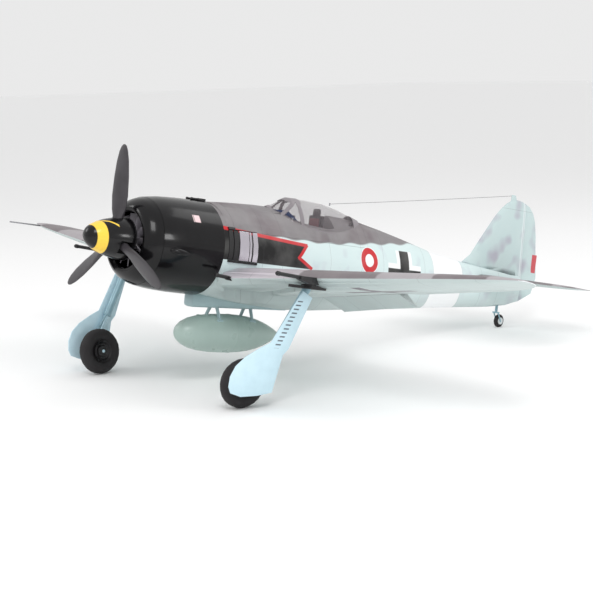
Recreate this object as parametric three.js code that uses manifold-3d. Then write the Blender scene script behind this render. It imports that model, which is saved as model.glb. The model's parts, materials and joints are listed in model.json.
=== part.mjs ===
// Radio-controlled low-wing fighter: a moulded-foam airframe with a radial cowl, a three-blade
// propeller, inward-folding main gear, a steerable tail wheel and hinged control surfaces.
// Millimetres. Airframe axes: +X to port, +Y aft from the spinner tip, +Z up from the thrust line.
// The airframe group is then tilted nose-up so that all three wheels stand on Z = 0.
import * as THREE from 'three';
import { mergeVertices } from 'three/addons/utils/BufferGeometryUtils.js';
import Module from 'manifold-3d';

const wasm = await Module();
wasm.setup();

// ---------- Driving sizes ----------
const gap = 0.4;                    // air left between pieces that touch

// Fuselage
const noseLength = 250;             // spinner tip to the front of the foam fuselage
const cabinLength = 376;            // foam front to the end of the canopy
const tailConeLength = 512;         // end of the canopy to the rudder hinge
const cowlRadius = 86;

// Wing
const wingSpan = 1400;
const wingRootX = 76;               // half-width of the centre section
const wingLeadingEdge = 243;        // leading edge at the root
const rootChord = 305;
const tipChord = 130;
const leadingSweep = 0.104;         // aft per millimetre outboard
const wingLow = -56;                // leading-edge height on the centreline
const dihedral = 5.5;               // degrees
const incidence = 2;                // degrees
const rootThickness = 0.16;
const tipThickness = 0.11;
const tipRoundLength = 140;         // span of the rounded tip
const trailingEdgeThickness = 1.2;
const sparRadius = 5;
const sparLength = 470;
const sparY = 392;
const sparZ = -42;

// Control surfaces
const flapInnerX = 86;
const flapOuterX = 315;
const flapChordShare = 0.8;         // hinge position along the chord
const flapRestAngle = 28;           // degrees down
const aileronInnerX = 318;
const aileronOuterX = 606;
const aileronChordShare = 0.79;
const aileronThrow = 20;
const elevatorThrow = 25;
const rudderThrow = 30;
const surfaceEndGap = 1.5;          // side clearance at each end of a surface

// Tail
const finHeight = 189;              // fin top above the thrust line
const tailplaneHalfSpan = 242;
const tailplaneHeight = 12;
const tailplaneRootChord = 150;
const elevatorHingeAhead = 58;      // elevator hinge ahead of the rudder hinge
const elevatorRootChord = 48;
const joinerRadius = 2;

// Main gear
const gearPivot = new THREE.Vector3(270, 288, -36);
const legFoot = new THREE.Vector3(241, 207, -222);
const legRadius = 7.5;
const mainWheelRadius = 43;
const mainWheelWidth = 26;
const mainHubRadius = 22;
const wheelOffset = 22;             // wheel centre inboard of the leg
const axleRadius = 3;
const doorThickness = 2;
const stowedLegFall = 0.19;        // the stowed leg drops this much per millimetre inboard
const stowedLegAft = 0.22;
const wellClearance = 8;
const wellRoof = 2.5;               // over the stowed tyre
const wellMouthForward = 9;         // the wheel swings in from ahead of its stowed place

// Tail wheel
const tailWheelRadius = 14;
const tailWheelWidth = 9;
const tailWheelHeight = -77;        // axle height
const tailWheelAheadOfHinge = 60;

// Propeller and motor
const propellerRadius = 165;
const propellerPlane = 66;
const bladeCount = 3;
const bladeChord = 33;
const bladePitch = 200;             // advance per turn
const spinnerRadius = 38;
const spinnerLength = 80;
const fanRadius = 47;
const fanBladeCount = 12;
const motorRadius = 25;
const motorLength = 42;
const shaftRadius = 4;

// Inside equipment
const batterySize = new THREE.Vector3(43, 136, 28);
const controllerSize = new THREE.Vector3(34, 70, 16);
const receiverSize = new THREE.Vector3(28, 45, 14);
const servoSize = new THREE.Vector3(12, 24, 24);
const bayClearance = 5;
const bayFloor = -8;
const bayFront = 276;

// Hatch and canopy
const hatchFront = 268;
const hatchRear = 632;
const hatchSill = 40;
const canopyFront = 392;
const canopyLength = 236;
const canopyWall = 1.2;
const cockpitFloor = 50;

// Under the belly
const rackHalfWidth = 14;
const rackLength = 226;
const tankRadius = 36;
const tankLength = 252;
const tankCentre = new THREE.Vector3(0, 338, -151);
const tankNoseDown = 2.5;           // degrees
const braceRadius = 2;
const standPadStart = 474;          // flat on the belly for a display stand
const standPadLength = 72;
const standPadZ = -96;

// Guns and aerials
const barrelRadius = 3.2;
const rootCannonX = 98;
const outerCannonX = 305;
const barrelReach = 80;             // barrel ahead of the leading edge
const pitotX = 653;
const pitotReach = 75;
const wireRadius = 0.4;
const stubY = 554;

// Places worked out from the sizes above
const halfSpan = wingSpan / 2;
const cabinEnd = noseLength + cabinLength;
const rudderHingeY = cabinEnd + tailConeLength;
const elevatorHingeY = rudderHingeY - elevatorHingeAhead;
const tailWheelY = rudderHingeY - tailWheelAheadOfHinge;

// ---------- Small tools ----------
const rad = THREE.MathUtils.degToRad;
const lerp = THREE.MathUtils.lerp;
const vec = (x, y, z) => new THREE.Vector3(x, y, z);

// Reads a row of [position, ...values] and blends between the two rows around a position.
function table(rows, at) {
  const last = rows.length - 1;
  let i = 0;
  while (i < last - 1 && at > rows[i + 1][0]) i += 1;
  const t = THREE.MathUtils.clamp((at - rows[i][0]) / (rows[i + 1][0] - rows[i][0]), 0, 1);
  return rows[i].slice(1).map((value, k) => lerp(value, rows[i + 1][k + 1], t));
}

// Position-only geometry from triangles, with shared corners merged and the faces pointing out.
function cleaned(geometry) {
  let bare = new THREE.BufferGeometry();
  bare.setAttribute('position', geometry.getAttribute('position').clone());
  if (geometry.index) bare.setIndex([...geometry.index.array]);
  bare = mergeVertices(bare, 1e-4);
  const p = bare.getAttribute('position').array;
  const corner = (i) => vec(p[3 * i], p[3 * i + 1], p[3 * i + 2]);
  const kept = [];
  let volume = 0;
  for (let i = 0; i < bare.index.count; i += 3) {
    const [a, b, c] = [0, 1, 2].map((k) => bare.index.array[i + k]);
    if (a === b || b === c || c === a) continue;
    kept.push([a, b, c]);
    volume += corner(a).dot(corner(b).cross(corner(c)));
  }
  bare.setIndex(kept.flatMap(([a, b, c]) => (volume < 0 ? [a, c, b] : [a, b, c])));
  return bare;
}

function toSolid(geometry) {
  const bare = cleaned(geometry);
  const vertProperties = new Float32Array(bare.getAttribute('position').array);
  const triVerts = new Uint32Array(bare.index.array);
  return new wasm.Manifold(new wasm.Mesh({ numProp: 3, vertProperties, triVerts }));
}

function toGeometry(solid) {
  const { numProp, vertProperties, triVerts } = solid.getMesh();
  const geometry = new THREE.BufferGeometry();
  const count = vertProperties.length / numProp;
  const positions = new Float32Array(3 * count);
  for (let i = 0; i < count; i += 1) {
    for (let k = 0; k < 3; k += 1) positions[3 * i + k] = vertProperties[i * numProp + k];
  }
  geometry.setAttribute('position', new THREE.BufferAttribute(positions, 3));
  geometry.setIndex([...triVerts]);
  return geometry;
}

const cut = (body, ...tools) => toGeometry(tools.reduce((s, t) => s.subtract(toSolid(t)), toSolid(body)));
const join = (body, ...more) => toGeometry(more.reduce((s, t) => s.add(toSolid(t)), toSolid(body)));
const common = (body, tool) => toGeometry(toSolid(body).intersect(toSolid(tool)));
const moved = (geometry, x, y, z) => geometry.clone().translate(x, y, z);
const mirrored = (geometry) => cleaned(geometry.clone().scale(-1, 1, 1));

// A closed skin through rings with the same number of points, with a fan over each end.
function loft(rings) {
  const count = rings[0].length;
  const points = rings.flat();
  const index = [];
  for (let i = 0; i + 1 < rings.length; i += 1) {
    for (let j = 0; j < count; j += 1) {
      const a = i * count + j;
      const b = i * count + ((j + 1) % count);
      index.push(a, b, b + count, a, b + count, a + count);
    }
  }
  for (const [ring, first] of [[rings[0], 0], [rings.at(-1), (rings.length - 1) * count]]) {
    const middle = ring.reduce((sum, q) => sum.add(q), vec(0, 0, 0)).divideScalar(count);
    points.push(middle);
    for (let j = 0; j < count; j += 1) {
      const pair = [first + j, first + ((j + 1) % count)];
      index.push(points.length - 1, ...(first === 0 ? pair.reverse() : pair));
    }
  }
  const geometry = new THREE.BufferGeometry().setFromPoints(points);
  geometry.setIndex(index);
  return cleaned(geometry);
}

const boxBetween = (low, high) => new THREE.BoxGeometry(high.x - low.x, high.y - low.y, high.z - low.z)
  .translate((low.x + high.x) / 2, (low.y + high.y) / 2, (low.z + high.z) / 2);
const boxAt = (size, x, y, z) => new THREE.BoxGeometry(size.x, size.y, size.z).translate(x, y, z);

function rodBetween(from, to, radius, sides = 12, endRadius = radius) {
  const along = to.clone().sub(from);
  const turn = new THREE.Quaternion().setFromUnitVectors(vec(0, 1, 0), along.clone().normalize());
  const rod = new THREE.CylinderGeometry(endRadius, radius, along.length(), sides);
  const middle = from.clone().add(to).multiplyScalar(0.5);
  return rod.applyMatrix4(new THREE.Matrix4().compose(middle, turn, vec(1, 1, 1)));
}

// A flat outline in the plane spanned by `across` and `up`, thickened along across x up.
function plate(outline, origin, across, up, thickness) {
  const shape = new THREE.Shape(outline.map(([u, v]) => new THREE.Vector2(u, v)));
  const slab = new THREE.ExtrudeGeometry(shape, { depth: thickness, bevelEnabled: false });
  const normal = across.clone().cross(up);
  const frame = new THREE.Matrix4().makeBasis(across, up, normal).setPosition(origin);
  return cleaned(slab.applyMatrix4(frame));
}

// Turned parts: [radius, position] pairs about the Y axis, from the front to the rear.
const turned = (profile, sides) => cleaned(
  new THREE.LatheGeometry(profile.map(([r, y]) => new THREE.Vector2(r, y)), sides));

// ---------- Finishes ----------
const finish = (color, roughness, metalness = 0) => () => new THREE.MeshStandardMaterial(
  { color, roughness, metalness });
const paintedSide = finish(0xc9d9da, 0.55);
const paintedTop = finish(0x7d797b, 0.55);
const paintedUnder = finish(0xbcc9c8, 0.55);
const glossBlack = finish(0x131114, 0.2);
const blackPlastic = finish(0x1b191b, 0.5);
const gearBlue = finish(0xcbe6f1, 0.4);
const legBlue = finish(0x8fb0bc, 0.35, 0.3);
const tankGreen = finish(0xa9bdb6, 0.4);
const rackBlue = finish(0x9fb8bc, 0.45);
const tyreBlack = finish(0x1d1a1c, 0.8);
const steel = finish(0x9a9a9d, 0.35, 1);
const clear = finish(0xb9c3c9, 0.1);
const carbon = finish(0x232326, 0.45);

// ---------- Scene graph ----------
const group = new THREE.Group();
const airframe = new THREE.Group();
group.add(airframe);

// Adds a mesh whose geometry is given in airframe coordinates to a group that may sit elsewhere.
function add(name, geometry, material, parent = airframe) {
  const offset = parent === airframe ? vec(0, 0, 0) : parent.position.clone().negate();
  const mesh = new THREE.Mesh(cleaned(moved(geometry, offset.x, offset.y, offset.z)), material());
  mesh.name = name;
  parent.add(mesh);
  return mesh;
}

// A group for pieces that move together, standing at its pivot and carrying its motion axis.
function movingGroup(name, pivot, axis) {
  const moving = new THREE.Group();
  moving.name = name;
  moving.position.copy(pivot);
  moving.userData.axis = axis.clone().normalize();
  airframe.add(moving);
  return moving;
}

// ---------- Fuselage ----------
// Half-width, top, bottom, and how square the upper and lower halves are, along the cabin (0 to 1)
// and then along the tail cone (1 to 2).
const fuselageForm = [
  [0.00, cowlRadius - 2, 86, -84, 2.0, 2.0],
  [0.13, 80, 90, -90, 1.9, 2.2],
  [0.29, 75, 93, -95, 1.65, 2.4],
  [0.48, 70, 94, -98, 1.5, 2.5],
  [0.66, 65, 94, -97, 1.45, 2.5],
  [0.85, 59, 93.5, -91, 1.45, 2.4],
  [1.00, 54, 91, -86, 1.5, 2.3],
  [1.14, 47, 80, -80, 1.6, 2.2],
  [1.26, 41.5, 69, -75, 1.7, 2.1],
  [1.44, 33, 51, -66, 1.8, 2.0],
  [1.62, 24.5, 40, -58, 1.9, 2.0],
  [1.81, 15, 34, -50, 2.0, 2.0],
  [1.93, 8.5, 31, -42, 2.0, 2.0],
  [2.01, 6, 29, -30, 2.0, 2.0],
];
const fuselageY = (s) => (s <= 1 ? noseLength + s * cabinLength : cabinEnd + (s - 1) * tailConeLength);
const fuselageS = (y) => (y <= cabinEnd ? (y - noseLength) / cabinLength
  : 1 + (y - cabinEnd) / tailConeLength);

function fuselageRing(y, grow, points = 28) {
  const [width, top, bottom, upper, lower] = table(fuselageForm, fuselageS(y));
  const ring = [];
  for (let i = 0; i < points; i += 1) {
    const angle = (i / points) * 2 * Math.PI;
    const power = 2 / (Math.sin(angle) >= 0 ? upper : lower);
    const height = Math.sin(angle) >= 0 ? top : -bottom;
    const x = (width + grow) * Math.sign(Math.cos(angle)) * Math.abs(Math.cos(angle)) ** power;
    const z = (height + grow) * Math.sign(Math.sin(angle)) * Math.abs(Math.sin(angle)) ** power;
    ring.push(vec(x, y, z));
  }
  return ring;
}

const fuselageBody = (grow) => loft(fuselageForm.map(([s]) => fuselageRing(fuselageY(s), grow)));

// ---------- Wing ----------
// A wing section: [along, up] from the upper trailing edge round the nose to the lower one.
function section(chord, thickness, camber, steps) {
  const upper = [];
  const lower = [];
  for (let i = 0; i <= steps; i += 1) {
    const x = 0.5 * (1 + Math.cos((i / steps) * Math.PI));
    const half = 5 * thickness * (0.2969 * Math.sqrt(x) - 0.126 * x - 0.3516 * x ** 2
      + 0.2843 * x ** 3 - 0.1036 * x ** 4);
    const thick = Math.max(half * chord, i === steps ? 0 : trailingEdgeThickness / 2);
    const rise = 4 * camber * x * (1 - x) * chord;
    upper.push([x * chord, rise + thick]);
    if (i < steps) lower.unshift([x * chord, rise - thick]);
  }
  return [...upper, ...lower];
}

// Leading edge, chord and thickness share of the wing at a distance from the centreline.
function wingAt(x) {
  const share = (x - wingRootX) / (halfSpan - wingRootX);
  const plainChord = lerp(rootChord, tipChord, share);
  const plainEdge = wingLeadingEdge + leadingSweep * (x - wingRootX);
  const along = Math.max(0, (x - (halfSpan - tipRoundLength)) / tipRoundLength);
  const round = Math.sqrt(Math.max(0, 1 - along ** 2));
  const tipPoint = 0.2;             // where along the chord the rounded tip closes
  return {
    edge: plainEdge + tipPoint * plainChord * (1 - round),
    chord: Math.max(plainChord * round, 2),
    thickness: lerp(rootThickness, tipThickness, share),
    height: wingLow + x * Math.tan(rad(dihedral)),
    plainEdge,
    plainChord,
  };
}

// Point at a share of the chord, a height above the chord line, in airframe coordinates.
function wingPoint(x, along, up) {
  const w = wingAt(x);
  const y = w.edge + along * Math.cos(rad(incidence));
  const drop = (y - w.plainEdge) * Math.tan(rad(incidence));
  return vec(x, y, w.height - drop + up);
}

const wingCamber = 0.018;
function wingRing(x, grow) {
  const w = wingAt(x);
  return section(w.chord + 2 * grow, w.thickness * (1 + (2 * grow) / (w.chord * w.thickness)),
    wingCamber, 9).map(([along, up]) => wingPoint(x, along - grow, up));
}

function wingBody(fromX, toX, grow) {
  const tip = halfSpan - tipRoundLength;
  const stops = [fromX, flapOuterX, tip];
  for (const share of [0.4, 0.66, 0.84, 0.94, 0.985]) stops.push(tip + share * tipRoundLength);
  const inside = stops.filter((x) => x >= fromX && x < toX);
  return loft([...inside, toX].map((x) => wingRing(x, grow)));
}

// The straight line through a share of the chord, used as a hinge axis, at a height on the section.
function hingeLine(fromX, toX, share, level) {
  const end = (x) => {
    const w = wingAt(x);
    const half = 5 * w.thickness * (0.2969 * Math.sqrt(share) - 0.126 * share - 0.3516 * share ** 2
      + 0.2843 * share ** 3 - 0.1036 * share ** 4) * w.plainChord;
    const rise = 4 * wingCamber * share * (1 - share) * w.plainChord;
    const y = w.plainEdge + share * w.plainChord;
    const drop = (y - w.plainEdge) * Math.tan(rad(incidence));
    return vec(x, y, w.height - drop + rise + level * half);
  };
  return [end(fromX), end(toX)];
}

// A prism whose ridge lies on a hinge line and which opens aft between two angles from straight aft.
function aftWedge(from, to, lift, aboveAngle, belowAngle, reach) {
  const axis = to.clone().sub(from).normalize();
  const aft = vec(0, 1, 0).projectOnPlane(axis).normalize();
  const up = axis.clone().cross(aft).multiplyScalar(Math.sign(axis.clone().cross(aft).dot(lift)));
  const arm = (angle) => aft.clone().multiplyScalar(Math.cos(rad(angle)) * reach)
    .addScaledVector(up, Math.sin(rad(angle)) * reach);
  const ring = (at) => [at.clone(), at.clone().add(arm(aboveAngle)),
    at.clone().add(arm(0)).addScaledVector(aft, reach), at.clone().add(arm(-belowAngle))];
  return loft([ring(from), ring(to)]);
}

const upward = vec(0, 0, 1);
const shifted = (points, step) => points.map((q) => q.clone().add(step));
const stretched = (points, extra) => {
  const axis = points[1].clone().sub(points[0]).normalize();
  return [points[0].clone().addScaledVector(axis, -extra), points[1].clone().addScaledVector(axis, extra)];
};

// ---------- Main gear geometry, port side ----------
const legLine = legFoot.clone().sub(gearPivot);
const legLength = legLine.length();
const legDown = legLine.clone().normalize();
const doorIn = vec(-1, 0, 0).projectOnPlane(legDown).normalize();       // from the door to the wheel
const doorAft = legDown.clone().cross(doorIn);
const stowedDown = vec(-1, stowedLegAft, -stowedLegFall).normalize();
const stowedIn = upward.clone().projectOnPlane(stowedDown).normalize();
const stowedAft = stowedDown.clone().cross(stowedIn);
const rise = new THREE.Matrix4().makeBasis(legDown, doorIn, doorAft).transpose();
const foldTurn = new THREE.Matrix4().makeBasis(stowedDown, stowedIn, stowedAft).multiply(rise);
const foldRotation = new THREE.Quaternion().setFromRotationMatrix(foldTurn);
if (foldRotation.w < 0) foldRotation.set(-foldRotation.x, -foldRotation.y, -foldRotation.z, -foldRotation.w);
const foldAxis = vec(foldRotation.x, foldRotation.y, foldRotation.z).normalize();
const foldAngle = 2 * Math.acos(foldRotation.w);
const stow = new THREE.Matrix4().makeTranslation(gearPivot)
  .multiply(foldTurn).multiply(new THREE.Matrix4().makeTranslation(gearPivot.clone().negate()));

const wheelCentre = legFoot.clone().addScaledVector(doorIn, wheelOffset);
const stowedWheel = wheelCentre.clone().applyMatrix4(stow);
const legPoint = (down, aft, inward) => gearPivot.clone().addScaledVector(legDown, down)
  .addScaledVector(doorAft, aft).addScaledVector(doorIn, inward);

// Door outline: [down the leg, aft of the leg].
const doorOutline = [
  [20, -12], [124, -16], [142, -30], [168, -47], [190, -55], [210, -54], [226, -46], [233, -36],
  [229, -14], [212, 16], [194, 40], [130, 20], [116, 24], [20, 13],
];
const doorPlane = -(legRadius + gap);
const doorPlate = (grow, thickness, plane) => {
  const middle = [130, -5];
  const outline = doorOutline.map(([u, v]) => [u + grow * Math.sign(u - middle[0]),
    v + grow * Math.sign(v - middle[1])]);
  return plate(outline, legPoint(0, 0, plane), legDown, doorAft, thickness);
};

// The space that the stowed wheel, leg and door need, open downwards.
function gearWell() {
  const down = 90;
  const roof = mainWheelWidth / 2 + wellRoof;
  const reach = mainWheelRadius + wellClearance;
  const across = (from, top) => rodBetween(from.clone().addScaledVector(stowedIn, -down),
    from.clone().addScaledVector(stowedIn, top), reach, 28);
  const wheelRoom = across(stowedWheel, roof);
  const mouth = stowedWheel.clone().add(vec(0, -wellMouthForward, 0));
  const mouthRoom = across(mouth, -mainWheelWidth / 2);
  const doorRoom = doorPlate(2.5, down, doorPlane + 3).applyMatrix4(stow);
  const legHalf = legRadius + 4;
  const legRoomStart = -legRadius - 3;
  const legRoomOutline = [[legRoomStart, -15], [legLength, -legHalf], [legLength, legHalf],
    [legRoomStart, 15]];
  const legTop = legRadius + 1.5;
  const legRoom = plate(legRoomOutline, legPoint(0, 0, legTop), legDown, doorAft,
    down + legTop).applyMatrix4(stow);
  return join(wheelRoom, mouthRoom, doorRoom, legRoom);
}

// ---------- Rudder hinge ----------
const rudderTilt = -0.06;           // hinge moves aft as it goes down
const hingePoint = (z) => vec(0, rudderHingeY + rudderTilt * z, z);
const rudderHinge = [hingePoint(-60), hingePoint(finHeight + 20)];
const rudderAxis = rudderHinge[1].clone().sub(rudderHinge[0]).normalize();
const sideways = vec(1, 0, 0);
const finRoom = aftWedge(...rudderHinge, sideways, 90, 90, 160);

// ---------- Foam bodies ----------
const wellLeft = gearWell();
const wellRight = mirrored(wellLeft);
const sparBore = rodBetween(vec(-sparLength / 2 - 2, sparY, sparZ), vec(sparLength / 2 + 2, sparY, sparZ),
  sparRadius + gap, 14);
const equipmentWidth = batterySize.x + 2 * bayClearance;
const bayLength = batterySize.y + controllerSize.y + receiverSize.y + servoSize.y + 6 * bayClearance;
const bay = boxBetween(vec(-equipmentWidth / 2, bayFront, bayFloor),
  vec(equipmentWidth / 2, bayFront + bayLength, hatchSill + 30));
const hatchRoom = boxBetween(vec(-120, hatchFront, hatchSill), vec(120, hatchRear, 160));

const centreSection = loft([-wingRootX, wingRootX].map((x) => wingRing(wingRootX, 0)
  .map((q) => vec(x, q.y, q.z))));
const joinerHole = rodBetween(vec(-60, elevatorHingeY, tailplaneHeight),
  vec(60, elevatorHingeY, tailplaneHeight), joinerRadius + 1.5, 10);
const strutHole = rodBetween(vec(0, tailWheelY, -90), vec(0, tailWheelY, -30), 3.6, 12);
const fuselageSkin = fuselageBody(0);
const fuselageClear = join(fuselageBody(gap), loft([-wingRootX - gap, wingRootX + gap]
  .map((x) => wingRing(wingRootX, gap).map((q) => vec(x, q.y, q.z)))));
const underPad = boxBetween(vec(-60, standPadStart, standPadZ - 40),
  vec(60, standPadStart + standPadLength, standPadZ));
const cowlRoom = rodBetween(vec(0, 0, 0), vec(0, noseLength, 0), cowlRadius + gap, 72);
add('fuselage', cut(join(fuselageSkin, centreSection), cowlRoom, hatchRoom, bay, wellLeft, wellRight, sparBore,
  joinerHole, strutHole, finRoom, underPad), paintedSide);

// Wing panels with their wells, and the hinged surfaces cut from the same panel.
function wingPieces() {
  const panel = wingBody(wingRootX + gap, halfSpan - 0.4, 0);
  const flapHinge = hingeLine(flapInnerX, flapOuterX, flapChordShare, -1);
  const aileronHinge = hingeLine(aileronInnerX, aileronOuterX, aileronChordShare, 0);
  const down = vec(0, 0, -0.6);
  const flapRoom = aftWedge(...shifted(stretched(flapHinge, surfaceEndGap), down), upward, 90, 80, 140);
  const flapCutter = aftWedge(...shifted(flapHinge, vec(0, 0.8, -0.6)), upward, 88, 70, 140);
  const aileronRoom = aftWedge(...stretched(aileronHinge, surfaceEndGap), upward, 90, 90, 140);
  const aileronCutter = aftWedge(...shifted(aileronHinge, vec(0, 0.8, 0)), upward,
    88 - aileronThrow, 88 - aileronThrow, 140);
  return {
    wing: cut(panel, fuselageBody(2.5 * gap), flapRoom, aileronRoom, wellLeft, sparBore),
    flap: common(panel, flapCutter),
    aileron: common(panel, aileronCutter),
    flapHinge,
    aileronHinge,
  };
}

const pieces = wingPieces();
const flapAxis = pieces.flapHinge[1].clone().sub(pieces.flapHinge[0]).normalize();
const lowered = pieces.flap.clone()
  .applyMatrix4(new THREE.Matrix4().makeTranslation(pieces.flapHinge[0].clone().negate()))
  .applyMatrix4(new THREE.Matrix4().makeRotationAxis(flapAxis, -rad(flapRestAngle)))
  .applyMatrix4(new THREE.Matrix4().makeTranslation(pieces.flapHinge[0]));
const flipped = (v) => vec(-v.x, v.y, v.z);

for (const [side, flip] of [['left', false], ['right', true]]) {
  const shape = (geometry) => (flip ? mirrored(geometry) : geometry);
  const place = (v) => (flip ? flipped(v) : v.clone());
  add(`wing_${side}`, shape(pieces.wing), paintedTop);
  const flap = movingGroup(`flap_hinge_${side}`, place(pieces.flapHinge[0]), place(flapAxis));
  add(`flap_${side}`, shape(lowered), paintedUnder, flap);
  const axis = pieces.aileronHinge[1].clone().sub(pieces.aileronHinge[0]);
  const aileron = movingGroup(`aileron_hinge_${side}`, place(pieces.aileronHinge[0]), place(axis));
  add(`aileron_${side}`, shape(pieces.aileron), paintedTop, aileron);
}
add('wing_spar', rodBetween(vec(-sparLength / 2, sparY, sparZ), vec(sparLength / 2, sparY, sparZ),
  sparRadius, 12), carbon);

// ---------- Tail ----------
// Height above the thrust line, leading edge and trailing edge ahead of (-) or behind the hinge.
const finForm = [
  [-31, -178, 4], [-10, -178, 46], [25, -178, 56], [40, -190, 54], [58, -166, 50], [89, -145, 44],
  [118, -124, 39], [148, -102, 31], [165, -86, 22], [178, -70, 8], [185, -58, -8], [189, -48, -26],
];
const finThickness = (z) => lerp(15, 7, THREE.MathUtils.clamp(z / finHeight, 0, 1));

function finRing(z, grow) {
  const [front, rear] = table(finForm, z);
  const chord = rear - front;
  return section(chord + 2 * grow, (finThickness(z) + 2 * grow) / chord, 0, 8)
    .map(([along, side]) => vec(side, rudderHingeY + front - grow + along, z));
}

const finScale = finHeight / 189;
const finBody = loft(finForm.map(([z]) => finRing(z, 0).map((q) => vec(q.x, q.y, q.z * finScale))));
const rudderCutter = aftWedge(...shifted(rudderHinge, vec(0, 0.8, 0)), sideways,
  88 - rudderThrow, 88 - rudderThrow, 160);
const belowSpine = boxBetween(vec(-60, cabinEnd, -120), vec(60, rudderHingeY + 120, 12));
add('fin', cut(finBody, fuselageClear, finRoom, belowSpine), paintedSide);
const rudderGroup = movingGroup('rudder_hinge', hingePoint(0), rudderAxis);
add('rudder', common(finBody, rudderCutter), paintedSide, rudderGroup);

// Distance outboard, then leading and trailing edge measured aft of the elevator hinge.
const tailRise = tailplaneRootChord - elevatorRootChord;
const tailplaneForm = [
  [0, -tailRise, elevatorRootChord], [0.07, -tailRise, elevatorRootChord],
  [0.80, -0.68 * tailRise, 0.78 * elevatorRootChord], [0.90, -0.57 * tailRise, 0.60 * elevatorRootChord],
  [0.96, -0.42 * tailRise, 0.34 * elevatorRootChord], [0.995, -0.22 * tailRise, 0.06 * elevatorRootChord],
];
function tailRing(share) {
  const [front, rear] = table(tailplaneForm, share);
  const chord = Math.max(rear - front, 3);
  const thickness = lerp(15, 7, share) * Math.sqrt(Math.max(0.06, 1 - Math.max(0, (share - 0.8) / 0.2) ** 2));
  return section(chord, thickness / chord, 0, 9)
    .map(([along, up]) => vec(share * tailplaneHalfSpan, elevatorHingeY + front + along,
      tailplaneHeight + up));
}

const tailBody = loft(tailplaneForm.map(([share]) => tailRing(share)));
const elevatorHinge = [vec(0, elevatorHingeY, tailplaneHeight),
  vec(tailplaneHalfSpan * 0.93, elevatorHingeY, tailplaneHeight)];
const elevatorRoom = aftWedge(vec(-20, elevatorHingeY, tailplaneHeight),
  stretched(elevatorHinge, surfaceEndGap)[1], upward, 90, 90, 120);
const elevatorCutter = aftWedge(vec(15, elevatorHingeY + 0.8, tailplaneHeight),
  vec(elevatorHinge[1].x, elevatorHingeY + 0.8, tailplaneHeight), upward,
  88 - elevatorThrow, 88 - elevatorThrow, 120);
const rudderSweepRoom = boxBetween(vec(-1, rudderHingeY - 12, -60), vec(26, rudderHingeY + 80, 80));
const joiner = rodBetween(vec(-42, elevatorHingeY, tailplaneHeight), vec(42, elevatorHingeY, tailplaneHeight),
  joinerRadius, 10);
const joinerClear = rodBetween(vec(-45, elevatorHingeY, tailplaneHeight),
  vec(45, elevatorHingeY, tailplaneHeight), joinerRadius + gap, 10);
const joinerSweep = rodBetween(vec(-45, elevatorHingeY, tailplaneHeight),
  vec(45, elevatorHingeY, tailplaneHeight), joinerRadius + 1.5, 10);
const elevatorGroup = movingGroup('elevator_hinge', elevatorHinge[0], sideways);
const tailplane = cut(tailBody, fuselageClear, elevatorRoom, joinerSweep);
const elevatorHalf = cut(common(tailBody, elevatorCutter), fuselageBody(1.2), rudderSweepRoom, joinerClear);
for (const [side, shape] of [['left', (g) => g], ['right', mirrored]]) {
  add(`tailplane_${side}`, shape(tailplane), paintedTop);
  add(`elevator_${side}`, shape(elevatorHalf), paintedTop, elevatorGroup);
}
add('elevator_joiner', joiner, steel, elevatorGroup);

// ---------- Cowl, guns and exhaust panels ----------
const cowlFront = 84;
const ringLength = 28;
const cowlWall = 2.6;
const intakeRadius = 50;
const cowlRear = noseLength - gap;
const cowlForm = [
  [cowlFront, 56], [cowlFront + 1.5, 61], [cowlFront + 6, 67], [cowlFront + 14, 73],
  [cowlFront + ringLength, 78], [cowlFront + 56, cowlRadius - 3.5], [cowlFront + 96, cowlRadius - 1],
  [cowlRear, cowlRadius],
];
const seam = cowlFront + ringLength;
const cowlOuter = cowlForm.filter(([y]) => y > seam).map(([y, r]) => [r, y]);
const seamRadius = table(cowlForm, seam)[0];
add('cowl', turned([
  [seamRadius - cowlWall, seam + gap], [seamRadius, seam + gap], ...cowlOuter,
  ...cowlOuter.map(([r, y]) => [r - cowlWall, y]).reverse(), [seamRadius - cowlWall, seam + gap],
], 28), glossBlack);
const ringOuter = cowlForm.filter(([y]) => y <= seam).map(([y, r]) => [r, y]);
add('cowl_ring', turned([
  [intakeRadius, cowlFront + 5], [intakeRadius + 2, cowlFront + 1], ...ringOuter,
  [seamRadius - cowlWall - 1, seam], [intakeRadius + 3, cowlFront + 14], [intakeRadius, cowlFront + 5],
], 28), glossBlack);

const gunX = 13;
const gunZ = cowlRadius + 3.4;
const gunLength = 38;
const barrel = (x) => rodBetween(vec(x, cowlRear - gunLength - 6, gunZ), vec(x, cowlRear - 2, gunZ), 2.6, 10);
add('deck_guns', cut(join(barrel(-gunX), barrel(gunX),
  boxBetween(vec(-gunX - 4, cowlRear - gunLength, gunZ - 4), vec(gunX + 4, cowlRear - 6, gunZ - 0.5))),
  rodBetween(vec(0, 60, 0), vec(0, 300, 0), cowlRadius + gap, 72)), blackPlastic);

const panelStart = noseLength + 2;
const panelLength = 44;
const panelBlock = boxBetween(vec(30, panelStart, -14), vec(120, panelStart + panelLength, 38));
const exhaustPanel = cut(common(fuselageBody(3), panelBlock), fuselageBody(gap));
add('exhaust_panel_left', exhaustPanel, blackPlastic);
add('exhaust_panel_right', mirrored(exhaustPanel), blackPlastic);

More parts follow.
